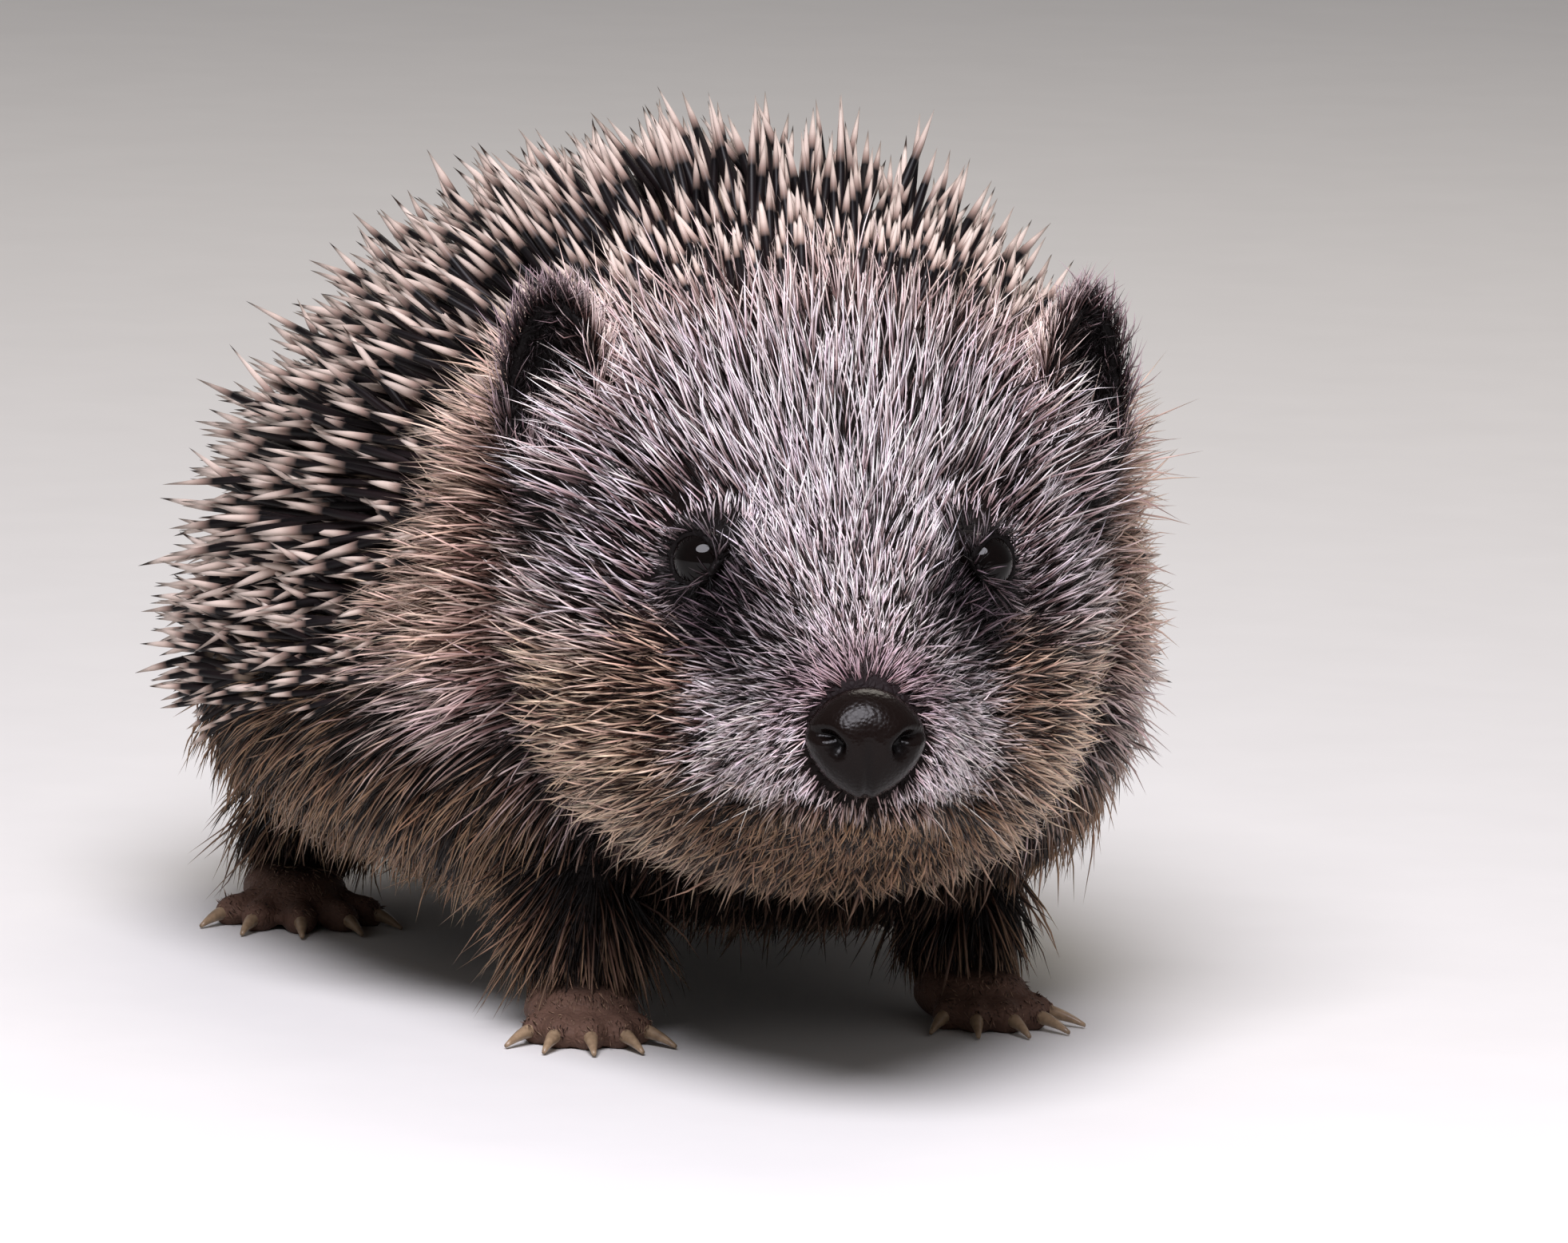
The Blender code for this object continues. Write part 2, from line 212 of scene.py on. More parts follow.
def link_object(name, data):
    made = bpy.data.objects.new(name, data)
    bpy.context.scene.collection.objects.link(made)
    return made


sight = towards(CAMERA_AZIMUTH, CAMERA_ELEVATION)
turned = (-sight).to_track_quat("-Z", "Y").to_matrix() @ Matrix.Rotation(math.radians(CAMERA_ROLL), 3, "Z")
face_middle = Vector((eyes["left"] + eyes["right"]) * 0.5 * MM)
camera = link_object("camera", bpy.data.cameras.new("camera"))
camera.location = face_middle - turned.col[0] * AIM_LEFT - turned.col[1] * AIM_DOWN + sight * CAMERA_DISTANCE
camera.rotation_euler = turned.to_euler()
camera.data.sensor_width = SENSOR
camera.data.lens = SENSOR * CAMERA_DISTANCE / VIEW_WIDTH
camera.data.clip_end = 20.0
bpy.context.scene.camera = camera
print("camera height", round(camera.location.z, 3), "lens", round(camera.data.lens))

# %% [markdown]
# Under the coat a hedgehog is one continuous skin. It is built in two steps. First the solids of the body
# are copied, swollen until their thin cuts close, and made one surface with a voxel remesh. That surface is
# then drawn in by the depth of the coat: a millimetre on the nose bridge, seven in the flank fur, and
# twelve under the spines. It is drawn in along normals averaged over several millimetres, because the bare
# normals of a faceted surface would cross each other that deep.

# %% Helpers for surfaces


def read(mesh_part, what, width, kind=np.float64):
    values = np.empty(len(mesh_part) * width, kind)
    mesh_part.foreach_get(what, values)
    return values.reshape(-1, width)


def vertex_normals(mesh):
    mesh.update()
    return read(mesh.vertex_normals, "vector", 3)


def set_places(mesh, places):
    mesh.vertices.foreach_set("co", places.ravel())
    mesh.update()


def edges_of(mesh):
    """The mesh's edges, and how many of them meet at each vertex."""
    pairs = read(mesh.edges, "vertices", 2, np.int64)
    return pairs, np.maximum(np.bincount(pairs.ravel(), minlength=len(mesh.vertices)), 1)


def edge_average(edges, values, counts):
    """The mean of each vertex's neighbours."""
    total = np.empty_like(values)
    for i in range(values.shape[1]):
        total[:, i] = np.bincount(edges[:, 0], values[edges[:, 1], i], len(values))
        total[:, i] += np.bincount(edges[:, 1], values[edges[:, 0], i], len(values))
    return total / counts[:, None]


def spread(edges, counts, values, share, times):
    """Eases values out over a surface: each vertex moves a share of the way to its neighbours' mean."""
    for _ in range(times):
        values = mix(values, edge_average(edges, values, counts), share)
    return values


# %% Helpers for solid shapes


def add_ball(bm, half_size, matrix, segments=20, rings=12):
    scale = Matrix.Diagonal((*half_size, 1.0))
    bmesh.ops.create_uvsphere(bm, u_segments=segments, v_segments=rings, radius=1.0, matrix=matrix @ scale)


def pour(part, into):
    """Adds one bmesh's shape to another and frees it."""
    mesh = bpy.data.meshes.new("part")
    part.to_mesh(mesh)
    part.free()
    into.from_mesh(mesh)
    bpy.data.meshes.remove(mesh)


def add_solid(bm, name, swell):
    """Adds a solid's surface in millimetres, swollen along its normals."""
    part = bmesh.new()
    part.from_mesh(nodes[name].data)
    bmesh.ops.transform(part, matrix=Matrix.Scale(1000.0, 4), verts=part.verts)
    bmesh.ops.remove_doubles(part, verts=part.verts, dist=0.001)
    part.normal_update()
    for vert in part.verts:
        vert.co += vert.normal * swell
    pour(part, bm)


def new_object(name, bm):
    """Turns a bmesh into a linked object and frees the bmesh."""
    mesh = bpy.data.meshes.new(name)
    bm.to_mesh(mesh)
    bm.free()
    return link_object(name, mesh)


def apply_modifiers(piece):
    """Replaces a piece's mesh with what its modifiers make of it."""
    bpy.context.view_layer.update()
    shaped = bpy.data.meshes.new_from_object(piece.evaluated_get(bpy.context.evaluated_depsgraph_get()))
    old = piece.data
    piece.modifiers.clear()
    piece.data = shaped
    bpy.data.meshes.remove(old)
    shaped.name = piece.name


def one_surface(piece, voxel):
    remesh = piece.modifiers.new("one surface", "REMESH")
    remesh.mode = "VOXEL"
    remesh.voxel_size = voxel
    apply_modifiers(piece)


# %% The body in one surface, through the tips of its coat
SWELL, COARSE_VOXEL = 0.4, 1.0
joined = bmesh.new()
for name in ("snout", "jaw", "head", "neck", "shoulders", "trunk", "rump"):
    add_solid(joined, name, SWELL)
for at in eyes.values():
    add_ball(joined, (EYE_RADIUS,) * 3, Matrix.Translation(at))
add_ball(joined, (8.6, 13.0, 3.6), Matrix.Translation(body_point(17.0, 0.0, 31.0)))  # closes the mouth
skin = new_object("skin", joined)
one_surface(skin, COARSE_VOXEL)
print("body after the remesh:", len(skin.data.vertices), "vertices")

# %% [markdown]
# The spiny mantle has a clear edge: it starts on the crown between the ears, passes close behind them, and
# runs along the flank to the tail. The same edge is used later to plant the spines. The skin goes down
# under it more gently than the spines begin, as the muscle under the real mantle makes a thick rounded
# edge.

# %% Where the spiny mantle is, and how deep the coat is


def mantle_inset(back, height):
    """How far inside the mantle's edge a point lies, in millimetres. It is negative outside."""
    front = np.interp(height, [24.0, 34.0, 46.0, 58.0, 66.0, 74.0], [85.0, 77.0, 69.0, 60.5, 56.0, 52.5])
    skirt = np.interp(back, [55.0, 72.0, 90.0, 120.0, 150.0, 178.0], [38.0, 35.0, 31.0, 26.0, 23.0, 21.0])
    return np.minimum(back - front, height - skirt)


def coat_depth(points):
    back, _, height = body_coordinates(points)
    face = np.interp(back, [0, 6, 12, 20, 30, 42, 56], [0.4, 0.6, 1.0, 1.5, 2.1, 3.0, 4.2])
    face += 1.6 * smooth(30.0, 46.0, back) * smooth(44.0, 30.0, height)
    face = mix(0.7, face, smooth(4.0, 8.0, distance_to(points, eyes.values())))
    fur = np.interp(height, [8.0, 14.0, 24.0], [4.5, 6.0, 7.0])
    body = mix(face, fur, smooth(48.0, 68.0, back))
    return mix(body, 12.5, smooth(-3.0, 15.0, mantle_inset(back, height)))


# %% Draw the body in by the coat's depth
places = read(skin.data.vertices, "co", 3)
edges, counts = edges_of(skin.data)
inward = -unit(spread(edges, counts, vertex_normals(skin.data), 0.6, 36))
depth = spread(edges, counts, coat_depth(places)[:, None] + SWELL, 0.6, 10)
places += inward * depth
places = spread(edges, counts, places, np.clip(0.1 + (depth - 2.0) * 0.1, 0.1, 0.6), 10)
set_places(skin.data, places)
print("bare body in mm", np.round(places.min(0), 1), np.round(places.max(0), 1))

# %% [markdown]
# Now the parts with little coat join the body: ears, legs, paws and tail. Each reaches a good way into the
# body, so that the second, finer remesh makes them grow out of it. The claws are pieces of their own, so
# the palms and toes are made again here as rounded shapes of the same size.

# %% Sizes of the ears, legs, paws and tail
Paw = namedtuple("Paw", "length width height toe toe_radius claw")
Leg = namedtuple("Leg", "behind lean lean_in foot_radius top_radius top")
PAWS = {"front": Paw(13.0, 11.4, 6.4, 6.0, 1.85, 4.0), "hind": Paw(21.0, 10.6, 6.2, 5.6, 1.75, 3.4)}
LEG_SHAPES = {"front": Leg(1.6, 5.0, 1.0, 4.3, 8.0, 27.0), "hind": Leg(4.6, -4.0, 6.0, 4.3, 9.0, 26.0)}
# How far back and out each paw stands, and how many degrees its toes point out.
LEGS = {
    "front_left": (71.0, 20.5, 8.0),
    "front_right": (65.0, 20.0, 4.0),
    "hind_left": (138.0, 25.5, 14.0),
    "hind_right": (145.0, 25.5, 14.0),
}
TOES = ((-41.0, 0.86), (-19.5, 1.03), (1.5, 1.09), (22.0, 1.04), (43.0, 0.84))  # fan in degrees, reach
TOE_REACH, SOLE_DEPTH = 0.52, 0.7
EAR_CUP, EAR_STEM, EAR_THICKNESS = (5.9, 4.4, 10.5), (4.4, 2.6, 7.0), 1.15
EAR_TURN, EAR_LEAN = 50.0, -4.0
TAIL_BACK, TAIL_HEIGHT, TAIL_DROOP, TAIL_LENGTH = 168.0, 19.0, 32.0, 14.2
FINE_VOXEL = 0.62

# %% Ears, legs, paws and tail


def paw_frame(name):
    """A frame under a paw, with -Y ahead along it, and the sign of its side."""
    back, out, toes_out = LEGS[name]
    sign = SIDES[name.split("_")[1]]
    return placed(back, sign * out, -SOLE_DEPTH, (sign * toes_out, "Z")), sign


def toe_frames(name):
    """Each toe's frame, with -Y ahead along the toe, and how far ahead its pad is."""
    frame_at, sign = paw_frame(name)
    reach = PAWS[name.split("_")[0]].length * TOE_REACH
    return [(frame_at @ Matrix.Rotation(math.radians(sign * fan), 4, "Z"), reach * share)
            for fan, share in TOES]


def ear_frame(side):
    """A frame in the middle of an ear's cup, with +Z up the ear and -Y out of its opening."""
    sign = SIDES[side]
    return placed(EAR_BACK, sign * EAR_OUT, EAR_HEIGHT, (sign * EAR_TURN, "Z"), (sign * EAR_LEAN, "Y"))


def add_cone(bm, start, end, radius_start, radius_end):
    axis = end - start
    matrix = Matrix.Translation((start + end) / 2) @ axis.to_track_quat("Z", "Y").to_matrix().to_4x4()
    bmesh.ops.create_cone(bm, cap_ends=True, segments=20, radius1=radius_start, radius2=radius_end,
                          depth=axis.length, matrix=matrix)


def add_ear(bm, side):
    """A thin cup open to the front and to the head, cut from an egg shape, on a stem into the head."""
    cup = bmesh.new()
    add_ball(cup, EAR_CUP, Matrix.Identity(4), 32, 20)
    to_head = -SIDES[side]
    openings = ((0, -0.4, 0), (0, -1, 0)), ((to_head * 2.0, -0.4, 0), (to_head * 0.77, -0.64, 0))
    for through, facing in openings:
        everything = cup.verts[:] + cup.edges[:] + cup.faces[:]
        bmesh.ops.bisect_plane(cup, geom=everything, plane_co=through, plane_no=facing, clear_outer=True)
    bmesh.ops.solidify(cup, geom=cup.faces[:], thickness=EAR_THICKNESS)
    bmesh.ops.transform(cup, matrix=ear_frame(side), verts=cup.verts)
    bmesh.ops.recalc_face_normals(cup, faces=cup.faces)
    add_ball(bm, EAR_STEM, ear_frame(side) @ Matrix.Translation((0.0, 1.9, -8.5)))
    pour(cup, bm)


limbs = bmesh.new()
for side in SIDES:
    add_ear(limbs, side)
for name in LEGS:
    paw, leg = PAWS[name.split("_")[0]], LEG_SHAPES[name.split("_")[0]]
    frame_at, sign = paw_frame(name)
    knee = Vector((-sign * leg.lean_in, leg.behind + leg.lean, leg.top))
    add_cone(limbs, frame_at @ Vector((0, leg.behind, 3.4)), frame_at @ knee, leg.foot_radius, leg.top_radius)
    palm = (paw.width / 2, paw.length / 2, paw.height / 2)
    add_ball(limbs, palm, frame_at @ Matrix.Translation((0, 0, paw.height / 2)))
    radius = paw.toe_radius
    for toe_at, reach in toe_frames(name):
        pad = toe_at @ Matrix.Translation((0, -reach, radius * 1.1))
        add_ball(limbs, (radius, paw.toe * 0.56, radius * 1.04), pad)
        knuckle = toe_at @ Matrix.Translation((0, -reach * 0.5, radius * 1.46))
        add_ball(limbs, (radius * 0.95, reach * 0.6, radius * 0.9), knuckle)
tail_at = placed(TAIL_BACK, 0.0, TAIL_HEIGHT, (-TAIL_DROOP, "X"))
add_cone(limbs, tail_at @ Vector((0, -6, 0)), tail_at @ Vector((0, TAIL_LENGTH, 0)), 3.6, 1.3)
limbs.from_mesh(skin.data)
limbs.to_mesh(skin.data)
limbs.free()
one_surface(skin, FINE_VOXEL)

# %% Ease the joins
places = read(skin.data.vertices, "co", 3)
edges, counts = edges_of(skin.data)
delicate = np.maximum(smooth(13.0, 10.0, distance_to(places, ears.values())), smooth(8.0, 5.0, places[:, 2]))
ease = (0.55 - 0.3 * delicate)[:, None]
for _ in range(5):  # a step in and a smaller step out, so that thin shapes don't shrink away
    places = mix(places, edge_average(edges, places, counts), ease)
    places = places - (edge_average(edges, places, counts) - places) * ease * 0.8
places[:, 2] = np.maximum(places[:, 2], 0.02)  # nothing reaches under the floor
set_places(skin.data, places)
print("skin:", len(places), "vertices; in mm", np.round(places.min(0), 1), np.round(places.max(0), 1))

# %% [markdown]
# The mouth is a closed line under the muzzle, pressed a little into the skin. Then the skin is thinned
# where the coat hides it, and kept fine on the face, ears and feet.

# %% Mouth line and thinning
MOUTH_HEIGHT, MOUTH_FALL, MOUTH_LENGTH, MOUTH_WIDTH, MOUTH_DEPTH = 32.6, 2.6, 22.0, 0.95, 0.45
THINNED_TO = 0.36


def ear_share(points):
    """1 on the ears and 0 elsewhere."""
    share = np.zeros(len(points))
    for side in SIDES:
        local = moved(points, ear_frame(side).inverted())
        size = np.linalg.norm(local / (np.array(EAR_CUP) + 0.7), axis=1)
        share = np.maximum(share, smooth(1.12, 1.02, size) * smooth(-7.5, -5.0, local[:, 2]))
    return share


back, _, height = body_coordinates(places)
line = MOUTH_HEIGHT - (back - 3.0) * MOUTH_FALL / MOUTH_LENGTH
press = np.clip(1.0 - ((height - line) / MOUTH_WIDTH) ** 2, 0.0, 1.0)
press = press * smooth(1.0, 4.0, back) * smooth(25.5, 21.0, back)
places -= vertex_normals(skin.data) * (press * MOUTH_DEPTH)[:, None]
set_places(skin.data, places * MM)

bare_head = smooth(62.0, 54.0, back) * smooth(2.0, -2.0, mantle_inset(back, height))
keep_fine = np.max([bare_head, smooth(9.0, 5.0, height), ear_share(places)], axis=0)
hidden = skin.vertex_groups.new(name="hidden")
for i in np.nonzero(keep_fine < 0.95)[0]:
    hidden.add([int(i)], float(1.0 - keep_fine[i]), "REPLACE")
thin = skin.modifiers.new("thin where hidden", "DECIMATE")
thin.ratio = THINNED_TO
thin.vertex_group = "hidden"
thin.vertex_group_factor = 4.0
apply_modifiers(skin)
skin.vertex_groups.clear()
print("skin after thinning:", len(skin.data.polygons), "faces")

# %% [markdown]
# Each eye sits in a pair of tight dark lids. A real lid is a soft roll that follows the eyeball, so it is a
# small oval profile spun round the line of gaze and bent to an almond: pointed a little to the inner corner
# and heavier above. It joins the skin before the unwrap, so it shares the skin's map and finish.

# %% Lids
GAZE_OUT, GAZE_UP = 43.0, 12.0
LID_RADIUS, LID_THICK, LID_WIDE, LID_TILT = 2.55, 0.32, 0.44, -32.0


def eye_frame(side):
    """A frame at the eye with +Z along the gaze and +Y up."""
    sign = SIDES[side]
    return placed(EYE_BACK, sign * EYE_OUT, EYE_HEIGHT, (sign * GAZE_OUT, "Z"), (90.0 - GAZE_UP, "X"))


def add_lids(bm, side):
    lids = bmesh.new()
    along_gaze = math.sqrt(EYE_RADIUS**2 - LID_RADIUS**2) + 0.12
    profile = Matrix.Translation((LID_RADIUS, 0.0, along_gaze)) @ Matrix.Rotation(math.radians(90.0), 4, "X")
    profile = profile @ Matrix.Rotation(math.radians(LID_TILT), 4, "Z")
    profile = profile @ Matrix.Diagonal((LID_WIDE, LID_THICK, 1.0, 1.0))
    bmesh.ops.create_circle(lids, segments=12, radius=1.0, matrix=profile)
    bmesh.ops.spin(lids, geom=lids.verts[:] + lids.edges[:], cent=(0, 0, 0), axis=(0, 0, 1), dvec=(0, 0, 0),
                   angle=2.0 * math.pi, steps=44, use_merge=True, use_duplicate=False)
    bmesh.ops.remove_doubles(lids, verts=lids.verts, dist=0.001)
    for vert in lids.verts:
        x, y, _ = vert.co
        turn = math.atan2(y, -x * SIDES[side])  # 0 towards the nose
        corner = math.exp(-((turn - 0.25) / 0.4) ** 2)
        vert.co.xy *= 1.0 + 0.13 * corner
        vert.co.y *= 0.93 if y > 0 else 0.97
        vert.co.z -= 0.35 * corner - (0.14 if y > 0.6 else 0.0)
    bmesh.ops.transform(lids, matrix=eye_frame(side), verts=lids.verts)
    bmesh.ops.recalc_face_normals(lids, faces=lids.faces)
    # Hairs are planted by the order of faces, and the spin's own order differs from run to run, so the faces
    # are sorted along a slanted line.
    lids.faces.sort(key=lambda face: face.calc_center_median().dot(Vector((1.0, 7.3, 53.7))))
    bmesh.ops.scale(lids, vec=(MM, MM, MM), verts=lids.verts)
    pour(lids, bm)


whole = bmesh.new()
whole.from_mesh(skin.data)
for side in SIDES:
    add_lids(whole, side)
whole.to_mesh(skin.data)
whole.free()
skin.data.shade_smooth()
print("skin with lids:", len(skin.data.polygons), "faces")

# %% [markdown]
# The unwrap lays the skin out flat by Blender's own projection from its faces. It belongs to the skin's
# shape alone, so a hair on the back and one on the belly never share a place on it.

# %% Unwrap
skin.data.uv_layers.new(name="OFBake")
bpy.context.view_layer.objects.active = skin
skin.select_set(True)
bpy.ops.object.mode_set(mode="EDIT")
bpy.ops.mesh.select_all(action="SELECT")
bpy.ops.uv.smart_project(angle_limit=math.radians(66.0), island_margin=0.002)
bpy.ops.object.mode_set(mode="OBJECT")
skin.select_set(False)

skin.data.calc_loop_triangles()
skin_places = read(skin.data.vertices, "co", 3) * 1000.0
skin_normals = vertex_normals(skin.data)
triangles = read(skin.data.loop_triangles, "vertices", 3, np.int64)
triangle_loops = read(skin.data.loop_triangles, "loops", 3, np.int64)
skin_uv = read(skin.data.uv_layers["OFBake"].uv, "vector", 2)[triangle_loops]
corners = skin_places[triangles]
facing = np.cross(corners[:, 1] - corners[:, 0], corners[:, 2] - corners[:, 0])
triangle_areas = np.linalg.norm(facing, axis=1) / 2.0
triangle_normals = unit(facing)
print("skin:", len(triangles), "triangles,", round(float(triangle_areas.sum())), "square millimetres")

# %% [markdown]
# A hedgehog's markings are painted here once, as soft patches over body coordinates, and both the skin and
# every hair read them, so they can't disagree. Each patch says how dark its underfur is, what its long pale
# hairs look like, and how large a share of the hairs are pale: most on the forehead and neck, and fewest by
# the eyes. Some patches also carry painted light and shade: painted shade on the throat, chin and lips, at
# the foot of each ear and before it, and painted light on the sides of the muzzle.

# %% Markings


def on_both_sides(back, out, height):
    return [body_point(back, sign * out, height) for sign in SIDES.values()]


# At the foot of each ear's opening the fur is short and the dark hide shows, deepened with painted shade;
# before each ear the fur is a little short and gets a lighter painted shadow.
FEET_OF_EARS = [np.array(ear_frame(side) @ Vector((0.0, -6.0, -8.5))) for side in SIDES]
BEFORE_EARS = on_both_sides(39.0, 25.0, 52.0)


def tear_streaks(points):
    """A dusky streak from each eye's inner corner towards the nose, fading as it goes."""
    streaks = np.zeros(len(points))
    for start, end in zip(on_both_sides(23.0, 11.6, 47.8), on_both_sides(10.0, 7.4, 43.8)):
        along = np.clip(((points - start) @ (end - start)) / ((end - start) @ (end - start)), 0.0, 1.0)
        off_line = np.linalg.norm(points - start - along[:, None] * (end - start), axis=1)
        streaks = np.maximum(streaks, smooth(6.2, 2.9, off_line) * (0.97 - 0.55 * smooth(0.3, 1.0, along)))
    return streaks


def markings(points):
    """Underfur colour, pale hair colour and the share of pale hairs at each point."""
    back, out, height = body_coordinates(points)
    beside = np.abs(out)
    count = len(points)
    dark, pale, share = np.zeros((count, 3)), np.zeros((count, 3)), np.zeros(count)

    def paint(weight, dark_hex, pale_hex, pale_share):
        weight = np.broadcast_to(weight, (count,))
        dark[:] = mix(dark, linear(dark_hex), weight[:, None])
        pale[:] = mix(pale, linear(pale_hex), weight[:, None])
        share[:] = mix(share, pale_share, weight)

    on_top = smooth(40.0, 52.0, height)
    paint(1.0, "#1a0d0a", "#f5ebf0", 0.33)  # face and sides of the head
    low_side = smooth(48.0, 62.0, back) * smooth(37.0, 27.0, height)
    paint(np.maximum(smooth(66.0, 84.0, back), low_side), "#1a110b", "#a3866a", 0.33)  # flanks
    paint(smooth(16.0, 10.0, height) * smooth(60.0, 74.0, back), "#261b15", "#8f7a66", 0.30)  # belly
    cheek = smooth(17.0, 26.0, back) * smooth(54.0, 44.0, back) * smooth(48.0, 40.0, height)
    paint(cheek * 0.95, "#371a08", "#ffe6c9", 0.33)
    # The throat is dark and dull: painted shade under the chin.
    throat = smooth(8.0, 20.0, back) * smooth(84.0, 60.0, back) * smooth(30.0, 20.0, height)
    paint(throat * smooth(30.0, 14.0, beside), "#17100e", "#6d5b4d", 0.25)
    # The sides of the muzzle have many pale hairs, painted nearly white as painted light, as the lamp reaches
    # them little.
    muzzle_side = smooth(6.0, 9.0, back) * smooth(24.0, 17.0, back) * (1 - on_top)
    paint(muzzle_side, "#190f10", "#fffafd", 0.48)
    # Lips and chin: dark brown fur, darkened further with painted shade under the muzzle.
    paint(smooth(34.5, 30.5, height) * smooth(34.0, 20.0, back), "#1c120d", "#95785c", 0.28)  # lips and chin
    forehead = smooth(7.0, 15.0, back) * smooth(24.0, 12.0, beside - np.clip(back - 24.0, 0, 40) * 0.30)
    paint(forehead * smooth(37.0, 46.0, height), "#1a0d0a", "#fffbff", 0.42)
    paint(smooth(38.0, 52.0, back) * on_top, "#23120c", "#fcebe4", 0.51)  # the warm fur before the spines
    ruff = smooth(44.0, 60.0, back) * smooth(92.0, 76.0, back) * smooth(30.0, 40.0, height)
    paint(ruff * smooth(13.0, 22.0, beside), "#47352c", "#ecd4c2", 0.57)
    paint(smooth(10.0, 6.0, back) * smooth(38.0, 43.0, height), "#2a1d1f", "#b9a4aa", 0.42)  # behind the nose
    eye_far = distance_to(points, eyes.values())
    paint(smooth(9.5, 6.0, eye_far) * 0.28, "#17100f", "#d5c8ce", 0.30)  # surround of each eye
    beside_eyes = distance_to(points, on_both_sides(27.5, 17.0, 46.5))
    paint(smooth(6.5, 3.0, beside_eyes) * 0.55, "#1a1216", "#a5979f", 0.26)
    under_eyes = distance_to(points, on_both_sides(24.6, 17.0, 40.4))
    paint(smooth(8.6, 4.0, under_eyes) * 0.88, "#230c06", "#dcbda4", 0.17)
    paint(tear_streaks(points), "#0b0709", "#5c4e56", 0.13)
    paint(smooth(4.8, 3.7, eye_far) * 0.85, "#0b0708", "#5c5054", 0.16)  # a ring round each eye
    # Painted shade over the dark hide at the foot of each ear's opening, and a lighter painted shadow before
    # each ear.
    paint(smooth(9.5, 5.0, distance_to(points, FEET_OF_EARS)) * 0.9, "#100a0b", "#8a7d84", 0.20)
    paint(smooth(8.0, 3.5, distance_to(points, BEFORE_EARS)) * 0.3, "#151012", "#9a8f99", 0.24)
    outer_ear = ear_share(points) * smooth(EAR_OUT - 4.8, EAR_OUT - 1.4, beside)
    paint(outer_ear, "#1b1315", "#a39296", 0.36)
    paint(smooth(10.0, 6.0, height), "#281c16", "#917a66", 0.35)  # legs
    return dark, pale, share


def set_attribute(mesh, name, values):
    """Stores a number for each vertex, or a colour where there are three to each."""
    if values.ndim == 2:
        values = np.concatenate([values, np.ones((len(values), 1))], 1)
        stored = mesh.attributes.new(name, "FLOAT_COLOR", "POINT")
        stored.data.foreach_set("color", values.astype(np.float32).ravel())
    else:
        mesh.attributes.new(name, "FLOAT", "POINT").data.foreach_set("value", values.astype(np.float32))


bald = np.maximum(ear_share(skin_places), smooth(4.1, 3.6, distance_to(skin_places, eyes.values())))
# The hide under the coat gets 0.4 of the underfur's colour: painted shade in the gaps between hairs.
tone = mix(markings(skin_places)[0] * 0.4, linear("#0b0707"), bald[:, None])
tone = mix(tone, linear("#5f483d"), smooth(5.6, 4.2, skin_places[:, 2])[:, None])
set_attribute(skin.data, "tone", tone)
print("skin tones set; darkest and palest", np.round(tone.min(), 3), np.round(tone.max(), 3))

# %% [markdown]
# Bare hide shows only in the ears, round the eyes and on the feet, but it also fills the gaps between
# hairs, so it has the colour of the underfur, darkened to 0.4 of it with painted shade for those gaps.
# Real hide is finely creased into small cells. The cells here are 0.7 mm across, as on the pads of the
# feet, and a softer noise of a few millimetres makes its colour uneven.

# %% Hide


def living_hide(tree):
    """Living hide: dull, with 2.4 mm blotches and 0.7 mm creased cells, a little oily: a low broad gloss."""
    place = add_node(tree, "TexCoord").outputs["Object"]
    tone = add_node(tree, "Attribute", {"attribute_name": "tone"}).outputs["Color"]
    blotches = add_node(tree, "TexNoise", None, {"Scale": 420.0, "Detail": 4.0}, {"Vector": place})
    cells = add_node(tree, "TexVoronoi", {"feature": "DISTANCE_TO_EDGE"}, {"Scale": 1400.0},
                     {"Vector": place})
    creases = add_node(tree, "MapRange", inputs={"From Max": 0.25},
                       links={"Value": cells.outputs["Distance"]})
    bump = add_node(tree, "Bump", inputs={"Strength": 0.6, "Distance": 0.00012},
                    links={"Height": creases.outputs["Result"]})
    colour = vary(tree, tone, blotches.outputs["Fac"], 0.72, 1.25)
    return ({"Roughness": 0.62, "Specular IOR Level": 0.12},
            {"Base Color": colour, "Normal": bump.outputs["Normal"]})


skin.data.materials.append(new_material("living hide", living_hide))
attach(skin, "root")
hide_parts("snout", "jaw", "head", "neck", "shoulders", "trunk", "rump", "tail", "ear_left",
            "ear_right", *(f"leg_{name}" for name in LEGS), *(f"paw_{name}" for name in LEGS))
print("skin stands for", 10 + 2 * len(LEGS), "solids")

# %% [markdown]
# A hedgehog's eye shows no white: it is a wet black bead, a little fuller in the middle where the cornea
# bulges. What one sees is mostly the reflection of the light above, so it needs a fine mesh and a nearly
# mirror-like surface over a very dark brown.

# %% Eyes
CORNEA_BULGE = 0.06


def wet_cornea(tree):
    """A wet eye: a dark iris of 0.4 mm fibres seen through clear fluid, which gives one sharp highlight."""
    place = add_node(tree, "TexCoord").outputs["Object"]
    fibres = add_node(tree, "TexNoise", None, {"Scale": 2600.0, "Detail": 2.0}, {"Vector": place})
    iris = add_node(tree, "ValToRGB", links={"Fac": fibres.outputs["Fac"]},
                    stops=((0.0, "#030202"), (1.0, "#0b0605")))
    return ({"Roughness": 0.03, "IOR": 1.376, "Specular IOR Level": 0.26},
            {"Base Color": iris.outputs["Color"]})


